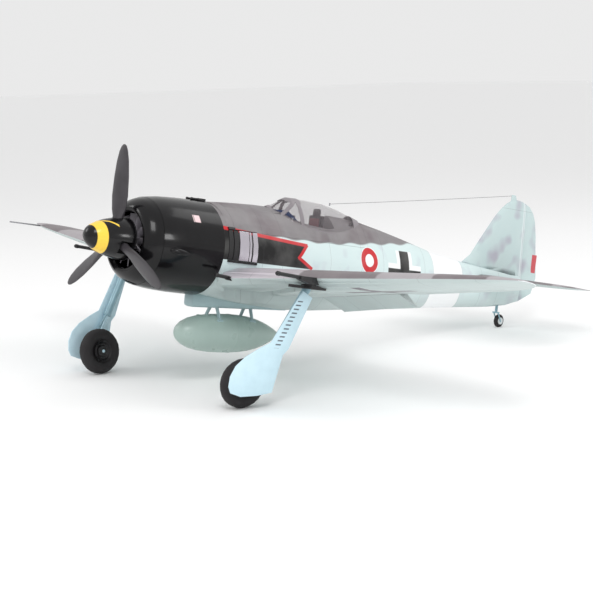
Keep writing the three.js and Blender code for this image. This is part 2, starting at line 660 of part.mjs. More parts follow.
// ---------- Motor and propeller ----------
const fanRear = cowlFront + 20;
const bellFront = fanRear + 4;
const statorRear = bellFront + motorLength + 12;
const boxRadius = 30;
add('motor_mount', turned([
  [0, statorRear + gap], [boxRadius, statorRear + gap], [boxRadius, noseLength - 8],
  [cowlRadius - cowlWall - 6, noseLength - 8], [cowlRadius - cowlWall - 6, noseLength - 4],
  [boxRadius - 4, noseLength - 4], [boxRadius - 4, statorRear + 6], [0, statorRear + 6],
], 20), carbon);
add('motor_stator', turned([
  [0, bellFront + 10], [motorRadius - 5, bellFront + 10], [motorRadius - 5, bellFront + motorLength + 1],
  [motorRadius - 2, bellFront + motorLength + 1], [motorRadius - 2, statorRear], [0, statorRear],
], 20), steel);

const propeller = movingGroup('propeller_axis', vec(0, propellerPlane, 0), vec(0, 1, 0));
add('motor_bell', turned([
  [0, propellerPlane - 16], [shaftRadius, propellerPlane - 16], [shaftRadius, bellFront],
  [motorRadius - 2, bellFront], [motorRadius, bellFront + 3], [motorRadius, bellFront + motorLength],
  [motorRadius - 2, bellFront + motorLength], [motorRadius - 2, bellFront + 6], [0, bellFront + 6],
], 20), steel, propeller);

const spinnerForm = [
  [0, 0], [0.24, 0.02], [0.40, 0.075], [0.53, 0.16], [0.68, 0.30], [0.82, 0.48], [0.92, 0.67],
  [0.985, 0.86], [1, 1],
].map(([r, y]) => [r * spinnerRadius, y * spinnerLength]);
const spinnerWall = 1.6;
const spinnerInner = spinnerForm.slice(2).map(([r, y]) => [r - spinnerWall, y + (y < spinnerLength ? 1.5 : 0)]);
const bladeRootRadius = 9;
const hubRadius = 16;
const turnAboutShaft = (geometry, angle) => geometry.clone().translate(0, -propellerPlane, 0)
  .rotateY(angle).translate(0, propellerPlane, 0);
const bladeAngle = (i) => rad(-3.6) + (i / bladeCount) * 2 * Math.PI;
const bladeSlot = boxBetween(vec(-bladeRootRadius - 3, propellerPlane - bladeRootRadius - 3, hubRadius + 2),
  vec(bladeRootRadius + 3, spinnerLength + 5, spinnerRadius + 10));
let spinner = turned([...spinnerForm, ...spinnerInner.reverse(), [0, 7.5]], 24);
for (let i = 0; i < bladeCount; i += 1) spinner = cut(spinner, turnAboutShaft(bladeSlot, bladeAngle(i)));
add('spinner', spinner, glossBlack, propeller);
add('prop_hub', turned([
  [shaftRadius + gap, propellerPlane - 12], [hubRadius, propellerPlane - 12],
  [hubRadius, spinnerLength + gap], [spinnerRadius, spinnerLength + gap],
  [spinnerRadius, spinnerLength + 3], [shaftRadius + gap, spinnerLength + 3],
  [shaftRadius + gap, propellerPlane - 12],
], 28), blackPlastic, propeller);

// Radius share, chord share, thickness share of chord.
const bladeForm = [
  [0.105, 0.54, 1.0], [0.2, 0.54, 0.9], [0.3, 0.8, 0.36], [0.45, 1.0, 0.2], [0.65, 1.0, 0.14],
  [0.82, 0.86, 0.11], [0.93, 0.62, 0.1], [0.98, 0.38, 0.1], [1.0, 0.12, 0.14],
];
const bladeSides = 12;
function bladeRing([radiusShare, chordShare, thickShare]) {
  const radius = radiusShare * propellerRadius;
  const pitch = Math.atan(bladePitch / (2 * Math.PI * Math.max(radius, 30)));
  const chord = chordShare * bladeChord;
  const ring = [];
  for (let i = 0; i < bladeSides; i += 1) {
    const angle = (i / bladeSides) * 2 * Math.PI;
    const along = (chord / 2) * Math.cos(angle);
    const thick = ((chord * thickShare) / 2) * Math.sin(angle);
    ring.push(vec(along * Math.cos(pitch) - thick * Math.sin(pitch),
      propellerPlane + along * Math.sin(pitch) + thick * Math.cos(pitch), radius));
  }
  return ring;
}
const blade = loft(bladeForm.map(bladeRing));
for (let i = 0; i < bladeCount; i += 1) {
  add(`blade_${i + 1}`, turnAboutShaft(blade, bladeAngle(i)), blackPlastic, propeller);
}

let fan = turned([
  [shaftRadius + gap, fanRear - 14], [20, fanRear - 14], [22, fanRear], [shaftRadius + gap, fanRear],
  [shaftRadius + gap, fanRear - 14],
], 24);
const vane = new THREE.BoxGeometry(13, 1.6, fanRadius - 19).rotateZ(rad(38))
  .translate(0, fanRear - 7, (fanRadius + 19) / 2);
for (let i = 0; i < fanBladeCount; i += 1) {
  fan = join(fan, turnAboutShaft(vane, (i / fanBladeCount) * 2 * Math.PI));
}
add('cooling_fan', fan, blackPlastic, propeller);

// ---------- Equipment in the bay ----------
let placed = bayFront + bayClearance;
for (const [name, size] of [['battery', batterySize], ['speed_controller', controllerSize],
  ['receiver', receiverSize]]) {
  add(name, boxAt(size, 0, placed + size.y / 2, bayFloor + gap + size.z / 2), carbon);
  placed += size.y + bayClearance;
}
for (const [name, x] of [['elevator_servo', 9], ['rudder_servo', -9]]) {
  const base = vec(x, placed + servoSize.y / 2, bayFloor + gap + servoSize.z / 2);
  const arm = boxAt(vec(4, 18, 1.6), x, base.y, base.z + servoSize.z / 2 + 4);
  const post = rodBetween(vec(x, base.y, base.z), vec(x, base.y, base.z + servoSize.z / 2 + 4), 2.4, 10);
  add(name, join(boxAt(servoSize, base.x, base.y, base.z), post, arm), blackPlastic);
}

// ---------- Hatch, canopy and seat ----------
const hatchGroup = movingGroup('hatch_lift', vec(0, (hatchFront + hatchRear) / 2, hatchSill), upward);
// Share of the canopy length, half-width, top and squareness.
const canopyForm = [
  [0.00, 15, 93.4, 2.0], [0.08, 25, 101, 2.2], [0.205, 34.5, 115.5, 2.3], [0.37, 37.5, 116.6, 2.2],
  [0.58, 37, 114.6, 2.1], [0.75, 32, 108, 2.0], [0.88, 25, 100, 1.9], [1.00, 14, 92.5, 1.9],
];
function canopyBody(inset, floor, fromShare = 0, toShare = 1) {
  const stops = canopyForm.map(([s]) => s).filter((s) => s > fromShare && s < toShare);
  return loft([fromShare, ...stops, toShare].map((share) => {
    const [width, top, power] = table(canopyForm, share);
    const ring = [];
    for (let i = 0; i <= 12; i += 1) {
      const angle = (i / 12) * Math.PI;
      const x = (width - inset) * Math.sign(Math.cos(angle)) * Math.abs(Math.cos(angle)) ** (2 / power);
      const z = floor + (top - inset - floor) * Math.sin(angle) ** (2 / power);
      ring.push(vec(x, canopyFront + share * canopyLength, z));
    }
    return ring;
  }));
}

const hatchBlock = boxBetween(vec(-120, hatchFront + gap, hatchSill + gap), vec(120, hatchRear - gap, 160));
const cockpitShare = [0.06, 0.66];
const cockpit = canopyBody(3.5, cockpitFloor, ...cockpitShare);
add('hatch', cut(common(fuselageSkin, hatchBlock), cockpit), paintedTop, hatchGroup);
const canopyShell = cut(canopyBody(0, 55), canopyBody(canopyWall, 54, 0.012, 0.988), fuselageBody(gap));
const stubBase = table(canopyForm, (stubY - canopyFront) / canopyLength)[1];
const stubTop = stubBase + 5;
add('canopy', join(canopyShell, rodBetween(vec(0, stubY, stubBase - 0.8), vec(0, stubY, stubTop), 1.4, 8)),
  clear, hatchGroup);
const seatY = canopyFront + 0.48 * canopyLength;
const seatFloor = cockpitFloor + gap;
add('seat', join(
  boxBetween(vec(-15, seatY - 28, seatFloor), vec(15, seatY + 8, seatFloor + 10)),
  boxBetween(vec(-15, seatY, seatFloor + 4), vec(15, seatY + 8, seatFloor + 40)),
  boxBetween(vec(-8, seatY + 1, seatFloor + 36), vec(8, seatY + 7, seatFloor + 55)),
), blackPlastic, hatchGroup);

// ---------- Belly rack, tank and braces ----------
const rackFront = noseLength - 12 + 4;
const rackForm = [
  [0, 4, -85.5], [0.05, 9, -94], [0.13, rackHalfWidth, -104], [0.3, rackHalfWidth, -107],
  [0.85, rackHalfWidth, -106], [1, 8, -101],
];
const rack = loft(rackForm.map(([share, half, low]) => {
  const y = rackFront + share * rackLength;
  return [[-half, -70], [-half, low + 5], [-half + 4, low], [half - 4, low], [half, low + 5], [half, -70]]
    .map(([x, z]) => vec(x, y, z));
}));
const cowlClear = rodBetween(vec(0, 100, 0), vec(0, noseLength + gap, 0), cowlRadius + gap, 72);
add('belly_rack', cut(rack, fuselageClear, cowlClear, wellLeft, wellRight), rackBlue);

const tankForm = [
  [0, -0.5], [0.34, -0.475], [0.62, -0.41], [0.85, -0.29], [0.97, -0.15], [1, 0], [0.96, 0.15],
  [0.82, 0.29], [0.55, 0.41], [0.26, 0.48], [0, 0.5],
];
const tank = (grow) => turned(tankForm.map(([r, y]) => [r ? r * tankRadius + grow : 0,
  y * tankLength + grow * Math.sign(y)]), 28)
  .rotateX(rad(tankNoseDown)).translate(tankCentre.x, tankCentre.y, tankCentre.z);
add('drop_tank', tank(0), tankGreen);
const rackBottomAt = (y) => table(rackForm, (y - rackFront) / rackLength)[1];
for (const [name, y] of [['tank_brace_front', tankCentre.y - 32], ['tank_brace_rear', tankCentre.y + 52]]) {
  const top = rackBottomAt(y) - gap;
  const strut = (side) => rodBetween(vec(2 * side, y - 3, top - braceRadius),
    vec(16 * side, y + 3, tankCentre.z + tankRadius - 8), braceRadius, 8);
  const bridge = boxBetween(vec(-7, y - 8, top - 2 * braceRadius), vec(7, y + 2, top));
  const roof = boxBetween(vec(-60, y - 60, top), vec(60, y + 60, top + 40));
  add(name, cut(join(strut(-1), strut(1), bridge), tank(gap), roof), rackBlue);
}

// ---------- Wing guns and pitot ----------
const wingClear = join(wingBody(20, halfSpan - 0.4, gap), fuselageClear);
function cannon(x) {
  const w = wingAt(x);
  const z = w.height - 3;
  const fairing = new THREE.SphereGeometry(8, 12, 8).scale(1, 3, 1).rotateX(rad(-4))
    .translate(x, w.edge + 7, z - 5);
  const tip = w.edge - barrelReach;
  return cut(join(rodBetween(vec(x, tip, z), vec(x, w.edge + 10, z - 1.5), barrelRadius, 12), fairing),
    rodBetween(vec(x, tip - 5, z), vec(x, tip + 14, z), barrelRadius - 1.2, 8), wingClear);
}
for (const [place, x] of [['root', rootCannonX], ['outer', outerCannonX]]) {
  add(`${place}_cannon_left`, cannon(x), blackPlastic);
  add(`${place}_cannon_right`, mirrored(cannon(x)), blackPlastic);
}
const pitotWing = wingAt(pitotX);
const pitot = rodBetween(vec(pitotX, pitotWing.edge - pitotReach, pitotWing.height),
  vec(pitotX, pitotWing.edge + 8, pitotWing.height - 0.5), 1.6, 10);
add('pitot_tube', mirrored(cut(pitot, wingClear)), steel);

// ---------- Aerial ----------
const postY = rudderHingeY - 50;
const postTop = finHeight + 10;
add('antenna_post', cut(rodBetween(vec(0, postY, finHeight - 8), vec(0, postY, postTop), 1.4, 8),
  loft(finForm.map(([z]) => finRing(z, gap).map((q) => vec(q.x, q.y, q.z * finScale + gap))))), steel);
// A light elastic thread from the post on the hood to the post on the fin.
const wirePoints = [
  [556, 117.2], [600, 123.6], [645, 130.2], [690, 136.8], [735, 143.5], [780, 150.2], [825, 157.0],
  [870, 163.8], [915, 170.7], [960, 177.6], [1005, 184.5], [1050, 191.5], [1085.8, 197.2],
].map(([y, z]) => vec(0, y, z));
const wireSection = new THREE.Shape();
wireSection.absarc(0, 0, wireRadius, 0, 2 * Math.PI);
const wireRoute = new THREE.CatmullRomCurve3(wirePoints);
add('antenna_wire', new THREE.ExtrudeGeometry(wireSection,
  { steps: 26, curveSegments: 4, extrudePath: wireRoute, bevelEnabled: false }), steel);

// ---------- Main gear ----------
const trunnionFront = 12;
const trunnionRear = 12;
const cheekGap = 1;
const gearShapes = {
  leg: join(
    rodBetween(legPoint(-3, 0, 0), legPoint(legLength * 0.62, 0, 0), legRadius, 14),
    rodBetween(legPoint(legLength * 0.6, 0, 0), legPoint(legLength + 5, 0, 0), legRadius - 2, 14),
    rodBetween(gearPivot.clone().addScaledVector(foldAxis, -trunnionFront),
      gearPivot.clone().addScaledVector(foldAxis, trunnionRear), 5, 12),
    rodBetween(legFoot, wheelCentre.clone().addScaledVector(doorIn, mainWheelWidth / 2 + 1), axleRadius, 12),
  ),
  door: doorPlate(0, doorThickness, doorPlane),
  tyre: turned([
    [mainHubRadius, -0.30], [mainHubRadius + 6, -0.42], [mainWheelRadius - 9, -0.5],
    [mainWheelRadius - 3.5, -0.41], [mainWheelRadius, -0.18], [mainWheelRadius, 0.18],
    [mainWheelRadius - 3.5, 0.41], [mainWheelRadius - 9, 0.5], [mainHubRadius + 6, 0.42],
    [mainHubRadius, 0.30], [mainHubRadius, -0.30],
  ].map(([r, share]) => [r, share * mainWheelWidth]), 24),
  hub: turned([
    [axleRadius + gap, -9], [8, -9], [10, -6], [mainHubRadius - gap, -7.5], [mainHubRadius - gap, 7.5],
    [10, 6], [8, 9], [axleRadius + gap, 9], [axleRadius + gap, -9],
  ], 24),
};
const ontoAxle = new THREE.Matrix4().makeRotationFromQuaternion(
  new THREE.Quaternion().setFromUnitVectors(vec(0, 1, 0), doorIn)).setPosition(wheelCentre);
for (const name of ['tyre', 'hub']) gearShapes[name].applyMatrix4(ontoAxle);
const mountReach = 24;
const mountFront = 16;
const mountRear = 17;
const retractUnit = cut(
  boxBetween(vec(gearPivot.x - 6, gearPivot.y - mountFront, gearPivot.z - 10),
    vec(gearPivot.x + mountReach, gearPivot.y + mountRear, gearPivot.z + 9)),
  boxBetween(vec(gearPivot.x - 40, gearPivot.y - trunnionFront - cheekGap, gearPivot.z - 40),
    vec(gearPivot.x + legRadius + 4, gearPivot.y + trunnionRear + cheekGap, gearPivot.z + 40)),
);
const mountRoom = boxBetween(vec(gearPivot.x - 10, gearPivot.y - mountFront - gap, gearPivot.z - 60),
  vec(gearPivot.x + mountReach + gap, gearPivot.y + mountRear + gap, gearPivot.z + 9 + gap));
for (const [side, flip] of [['left', false], ['right', true]]) {
  const shape = (geometry) => (flip ? mirrored(geometry) : geometry);
  const wing = airframe.getObjectByName(`wing_${side}`);
  wing.geometry = cleaned(cut(wing.geometry, shape(mountRoom)));
  add(`retract_unit_${side}`, shape(retractUnit), blackPlastic);
  const turnAxis = flip ? vec(foldAxis.x, -foldAxis.y, -foldAxis.z) : foldAxis;
  const gear = movingGroup(`gear_pivot_${side}`, flip ? flipped(gearPivot) : gearPivot, turnAxis);
  gear.userData.foldDegrees = THREE.MathUtils.radToDeg(foldAngle);
  add(`leg_${side}`, shape(gearShapes.leg), legBlue, gear);
  add(`gear_door_${side}`, shape(gearShapes.door), gearBlue, gear);
  const wheel = movingGroup(`wheel_axle_${side}`, flip ? flipped(wheelCentre) : wheelCentre,
    flip ? flipped(doorIn) : doorIn);
  add(`tyre_${side}`, shape(gearShapes.tyre), tyreBlack, wheel);
  add(`wheel_hub_${side}`, shape(gearShapes.hub), blackPlastic, wheel);
}

// ---------- Tail wheel ----------
const tailAxle = vec(0, tailWheelY + 12, tailWheelHeight);
const cheekX = tailWheelWidth / 2 + 1.6;
const steer = movingGroup('tail_steer', vec(0, tailWheelY, -50), upward);
const cheek = (x) => rodBetween(vec(x, tailWheelY, tailAxle.z + tailWheelRadius + 3.4),
  vec(x, tailAxle.y, tailAxle.z - 2), 1.5, 8);
add('tail_wheel_fork', join(
  rodBetween(vec(0, tailWheelY, -32), vec(0, tailWheelY, tailAxle.z + tailWheelRadius + 3), 3.1, 12),
  boxBetween(vec(-cheekX - 1.5, tailWheelY - 3, tailAxle.z + tailWheelRadius + 1.6),
    vec(cheekX + 1.5, tailWheelY + 3, tailAxle.z + tailWheelRadius + 5)),
  cheek(-cheekX), cheek(cheekX),
  rodBetween(vec(-cheekX, tailAxle.y, tailAxle.z), vec(cheekX, tailAxle.y, tailAxle.z), 1.4, 8),
), steel, steer);
const tailSpin = movingGroup('tail_wheel_axle', tailAxle, sideways);
add('tail_wheel', turned([
  [1.4 + gap, -0.4], [6, -0.4], [7, -0.5], [tailWheelRadius - 3, -0.5], [tailWheelRadius, -0.2],
  [tailWheelRadius, 0.2], [tailWheelRadius - 3, 0.5], [7, 0.5], [6, 0.4], [1.4 + gap, 0.4], [1.4 + gap, -0.4],
].map(([r, share]) => [r, share * tailWheelWidth]), 24).rotateZ(rad(90))
  .translate(tailAxle.x, tailAxle.y, tailAxle.z), tyreBlack, tailSpin);

// ---------- Stance ----------
// Tilts the airframe until the main tyres and the tail wheel are equally low, then stands it on
// Z = 0 with its origin under the middle of its bounding box.
function lowest(name) {
  return new THREE.Box3().setFromObject(airframe.getObjectByName(name), true).min.z;
}
let low = 0;
let high = rad(25);
for (let i = 0; i < 40; i += 1) {
  const middle = (low + high) / 2;
  airframe.rotation.x = -middle;
  airframe.updateMatrixWorld(true);
  if (lowest('tyre_left') < lowest('tail_wheel')) low = middle;
  else high = middle;
}
const bounds = new THREE.Box3().setFromObject(airframe, true);
const stance = bounds.getCenter(new THREE.Vector3());
airframe.position.set(-stance.x, -stance.y, -bounds.min.z);
group.updateMatrixWorld(true);

export default group;
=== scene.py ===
"""Radio-controlled low-wing fighter in painted foam: paint, plastics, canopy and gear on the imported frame."""
import json
import math

import bpy
from mathutils import Matrix, Vector


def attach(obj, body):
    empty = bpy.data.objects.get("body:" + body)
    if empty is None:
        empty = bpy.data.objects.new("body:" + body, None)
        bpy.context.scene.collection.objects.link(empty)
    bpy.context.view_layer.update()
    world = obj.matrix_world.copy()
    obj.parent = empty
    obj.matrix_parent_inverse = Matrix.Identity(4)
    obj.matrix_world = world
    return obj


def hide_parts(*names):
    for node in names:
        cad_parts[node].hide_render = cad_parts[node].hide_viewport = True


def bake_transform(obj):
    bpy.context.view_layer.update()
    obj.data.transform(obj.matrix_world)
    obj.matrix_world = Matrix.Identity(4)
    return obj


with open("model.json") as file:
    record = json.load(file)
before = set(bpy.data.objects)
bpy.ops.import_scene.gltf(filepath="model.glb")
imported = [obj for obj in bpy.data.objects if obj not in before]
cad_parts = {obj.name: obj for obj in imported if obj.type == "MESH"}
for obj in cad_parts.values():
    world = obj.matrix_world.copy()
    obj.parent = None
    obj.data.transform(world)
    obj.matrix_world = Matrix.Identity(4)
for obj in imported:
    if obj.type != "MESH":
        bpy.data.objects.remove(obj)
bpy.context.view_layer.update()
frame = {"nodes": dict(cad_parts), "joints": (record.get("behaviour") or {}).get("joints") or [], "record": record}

MM = 0.001
BODY_OF = {n: b for b, ns in frame["record"]["behaviour"]["bodies"].items() for n in ns}

# The airframe's own axes: +X to port, +Y aft from the spinner tip, +Z up. The propeller shaft gives them.
PROPELLER_PLANE = 66 * MM
shaft = next(j for j in frame["joints"] if j["name"] == "propeller_spin")
AFT = Vector(shaft["axis"]).normalized()
UP = Vector((1, 0, 0)).cross(AFT)
TIP = Vector(shaft["pos_m"]) - AFT * PROPELLER_PLANE
AIR = Matrix(((1, 0, 0, TIP.x), (0, AFT.y, UP.y, TIP.y), (0, AFT.z, UP.z, TIP.z), (0, 0, 0, 1)))
GROUND_ANGLE = math.atan2(-AFT.z, AFT.y)


def air(x, y, z):
    """A point given in airframe millimetres, in the row frame."""
    return AIR @ (Vector((x, y, z)) * MM)


# ---------- Camera ----------
AZIMUTH, ELEVATION, ROLL = (math.radians(a) for a in (48.747, 1.339, 7.035))
AIM = Vector((0, 550, 0)) * MM
DISTANCE, SIDE_STEP, RISE = 2995.024 * MM, -47.632 * MM, -64.968 * MM
LENS = 1532.286 * 36 / 593


def place_camera():
    level = math.cos(ELEVATION)
    back = Vector((math.sin(AZIMUTH) * level, -math.cos(AZIMUTH) * level, math.sin(ELEVATION)))
    right = Vector((math.cos(AZIMUTH), math.sin(AZIMUTH), 0))
    above = back.cross(right)
    c, s = math.cos(ROLL), math.sin(ROLL)
    right, above = right * c + above * s, above * c - right * s
    spot = AIM + right * SIDE_STEP + above * RISE + back * DISTANCE
    turn = Matrix((right, above, back)).transposed().to_4x4()
    bpy.ops.object.camera_add()
    camera = bpy.context.object
    camera.matrix_world = AIR @ Matrix.Translation(spot) @ turn
    camera.data.lens = LENS
    camera.data.sensor_width = 36
    camera.data.clip_end = 50
    bpy.context.scene.camera = camera


place_camera()


# ---------- Materials ----------
def linear(code):
    """An sRGB hex colour as linear RGBA."""
    parts = [int(code[i:i + 2], 16) / 255 for i in (1, 3, 5)]
    return (*[c / 12.92 if c <= 0.04045 else ((c + 0.055) / 1.055) ** 2.4 for c in parts], 1)


def add_node(tree, kind, inputs=None, **settings):
    """Adds a node, sets it, and links or fills its sockets."""
    made = tree.nodes.new(kind)
    for name, value in settings.items():
        setattr(made, name, value)
    for key, value in (inputs or {}).items():
        if isinstance(value, bpy.types.NodeSocket):
            tree.links.new(value, made.inputs[key])
        else:
            made.inputs[key].default_value = value
    return made


def blank(name, **shader):
    """A material with one Principled shader whose own sockets hold what is the same all over."""
    material = bpy.data.materials.new(name)
    material.use_nodes = True
    tree = material.node_tree
    tree.nodes.clear()
    surface = add_node(tree, "ShaderNodeBsdfPrincipled", {k: v for k, v in shader.items()})
    add_node(tree, "ShaderNodeOutputMaterial", {"Surface": surface.outputs[0]})
    return material, tree, surface


def airframe_millimetres(tree):
    """Object coordinates turned into airframe millimetres."""
    back = AIR.inverted()
    coords = add_node(tree, "ShaderNodeTexCoord")
    place = add_node(tree, "ShaderNodeMapping", {
        "Vector": coords.outputs["Object"], "Location": back.translation / MM,
        "Rotation": (GROUND_ANGLE, 0, 0), "Scale": (1 / MM,) * 3})
    return place.outputs[0], coords


def calc(tree, operation, *values):
    return add_node(tree, "ShaderNodeMath", dict(enumerate(values)), operation=operation).outputs[0]


def blended(tree, mask, under, over):
    """One colour over another where the mask is 1."""
    return add_node(tree, "ShaderNodeMix", {0: mask, 6: under, 7: over}, data_type="RGBA").outputs[2]


def edge(tree, distance, soft=0.5):
    """1 where a signed distance in millimetres is below zero."""
    return add_node(tree, "ShaderNodeMapRange", {0: distance, 1: soft, 2: -soft, 3: 0.0, 4: 1.0}).outputs[0]


def any_of(tree, masks):
    total = masks[0]
    for mask in masks[1:]:
        total = calc(tree, "MAXIMUM", total, mask)
    return total


def convex(tree, u, v, corners):
    """Signed distance to a convex outline, with its corners in clockwise or anticlockwise order."""
    cx = sum(c[0] for c in corners) / len(corners)
    cy = sum(c[1] for c in corners) / len(corners)
    sides = []
    for (x0, y0), (x1, y1) in zip(corners, corners[1:] + corners[:1]):
        length = math.hypot(x1 - x0, y1 - y0)
        nx, ny = (y1 - y0) / length, (x0 - x1) / length
        if nx * (cx - x0) + ny * (cy - y0) > 0:
            nx, ny = -nx, -ny
        partial = calc(tree, "MULTIPLY_ADD", v, ny, -(nx * x0 + ny * y0))
        sides.append(calc(tree, "MULTIPLY_ADD", u, nx, partial))
    return any_of(tree, sides)


def bar(tree, u, v, u0, u1, v0, v1):
    return convex(tree, u, v, [(u0, v0), (u1, v0), (u1, v1), (u0, v1)])


def stroke(tree, u, v, start, end, width):
    """A straight painted line between two points."""
    length = math.dist(start, end)
    au, av = (end[0] - start[0]) / length, (end[1] - start[1]) / length
    ou, ov = -av * width / 2, au * width / 2
    return convex(tree, u, v, [(start[0] + ou, start[1] + ov), (end[0] + ou, end[1] + ov),
                               (end[0] - ou, end[1] - ov), (start[0] - ou, start[1] - ov)])


def seams(tree, value, places, width):
    return any_of(tree, [calc(tree, "COMPARE", value, float(p), width / 2) for p in places])


def patchy(tree, where, size, low, high, detail=2.0):
    """Soft blotches about `size` millimetres across, 0 to 1 between two noise levels."""
    noise = add_node(tree, "ShaderNodeTexNoise", {"Vector": where, "Scale": 1 / size, "Detail": detail})
    return add_node(tree, "ShaderNodeMapRange", {0: noise.outputs[0], 1: low, 2: high}).outputs[0]


def finish_paint(tree, surface, where, colour, lines, roughness=(0.42, 0.56)):
    """Dirt in the panel lines, a foam-bead surface about 3 mm across and uneven gloss."""
    wear = patchy(tree, where, 45, 0.35, 0.7, 4.0)
    faded = blended(tree, calc(tree, "MULTIPLY", wear, 0.08), colour, linear("#f2f2ee"))
    colour = blended(tree, calc(tree, "MULTIPLY", lines, 0.26), faded, linear("#3a3c3f"))
    tree.links.new(colour, surface.inputs["Base Color"])
    gloss = add_node(tree, "ShaderNodeMapRange", {0: wear, 3: roughness[0], 4: roughness[1]})
    tree.links.new(gloss.outputs[0], surface.inputs["Roughness"])
    beads = add_node(tree, "ShaderNodeTexVoronoi", {"Vector": where, "Scale": 1 / 3.0}, feature="SMOOTH_F1")
    height = calc(tree, "SUBTRACT", calc(tree, "MULTIPLY", beads.outputs["Distance"], 0.10), lines)
    bump = add_node(tree, "ShaderNodeBump", {"Height": height, "Strength": 0.3, "Distance": 0.4 * MM})
    tree.links.new(bump.outputs[0], surface.inputs["Normal"])


TOP_GREY, TOP_LIGHT, TOP_DARK = "#7d797b", "#a09a9e", "#6f666a"
SIDE, MOTTLE, UNDER, WHITE = "#cfe0e0", "#b3b1c0", "#bcc9c8", "#eef0f1"
RED, BLACK = "#c41f28", "#0d0c0d"


def fuselage_paint():
    """Matt paint on moulded foam, which keeps highlights broad and soft over a faint bead texture.

    Dark spine, mottled pale sides, a black nose panel edged in red, and a plain ring and bars.
    """
    material, tree, surface = blank("matt_paint_on_foam_fuselage", **{"Specular IOR Level": 0.3})
    where, _ = airframe_millimetres(tree)
    split = add_node(tree, "ShaderNodeSeparateXYZ", {0: where})
    x, y, z = split.outputs
    mottled = patchy(tree, where, 55, 0.55, 0.72)
    colour = blended(tree, calc(tree, "MULTIPLY", mottled, 0.55), linear(SIDE), linear(MOTTLE))
    below = edge(tree, calc(tree, "ADD", z, 42.0), 18)
    colour = blended(tree, below, colour, linear(UNDER))
    colour = blended(tree, edge(tree, bar(tree, y, z, 833, 931, -120, 120)), colour, linear(WHITE))
    # the soft wavy edge of the dark spine
    wave = calc(tree, "MULTIPLY", calc(tree, "SINE", calc(tree, "DIVIDE", y, 10.0)), 1.8)
    forward = calc(tree, "MULTIPLY_ADD", y, 0.005, 36.0)
    rearward = calc(tree, "MULTIPLY_ADD", y, 0.085, -5.0)
    border = calc(tree, "ADD", any_of(tree, [forward, rearward]), wave)
    spine = edge(tree, calc(tree, "SUBTRACT", border, z), 1.5)
    spine = any_of(tree, [spine, edge(tree, bar(tree, y, z, 200, 318, 10, 120))])
    spine = calc(tree, "MULTIPLY", spine, edge(tree, calc(tree, "SUBTRACT", y, 850.0), 6))
    upper = blended(tree, patchy(tree, where, 70, 0.45, 0.6), linear(TOP_GREY), linear(TOP_DARK))
    colour = blended(tree, spine, colour, upper)
    # black nose panel, in two convex halves, and its red edge
    nose = any_of(tree, [edge(tree, convex(tree, y, z, c)) for c in (
        [(225, 43), (456, 29.5), (431, 3.0), (225, 3.0)],
        [(225, 6.0), (431, 6.0), (469, -14), (225, -14)])])
    colour = blended(tree, nose, colour, linear(BLACK))
    outline = any_of(tree, [edge(tree, stroke(tree, y, z, a, b, 6.4)) for a, b in (
        ((225, 43), (458, 29.4)), ((457, 31), (430.5, 3)), ((430.5, 6), (470, -13.5)))])
    colour = blended(tree, outline, colour, linear(RED))
    # plain ring
    du, dv = calc(tree, "SUBTRACT", y, 632.0), calc(tree, "SUBTRACT", z, 17.0)
    squares = calc(tree, "ADD", calc(tree, "MULTIPLY", du, du), calc(tree, "MULTIPLY", dv, dv))
    radius = calc(tree, "SQRT", squares)
    for size, paint in ((26, WHITE), (24.5, RED), (12.5, WHITE)):
        colour = blended(tree, edge(tree, calc(tree, "SUBTRACT", radius, float(size))), colour, linear(paint))
    # plain crossed bars: white edges first, then the dark bars
    for grow, paint in ((10, WHITE), (0, BLACK)):
        bars = any_of(tree, [
            edge(tree, bar(tree, y, z, 726 - grow, 754 + grow, -38, 44)),
            edge(tree, bar(tree, y, z, 689, 791, -14 - grow, 8 + grow))])
        colour = blended(tree, bars, colour, linear(paint))
    lines = seams(tree, y, (340, 392, 520, 610, 675, 805, 833, 931, 1000, 1060), 1.0)
    finish_paint(tree, surface, where, colour, lines)
    return material


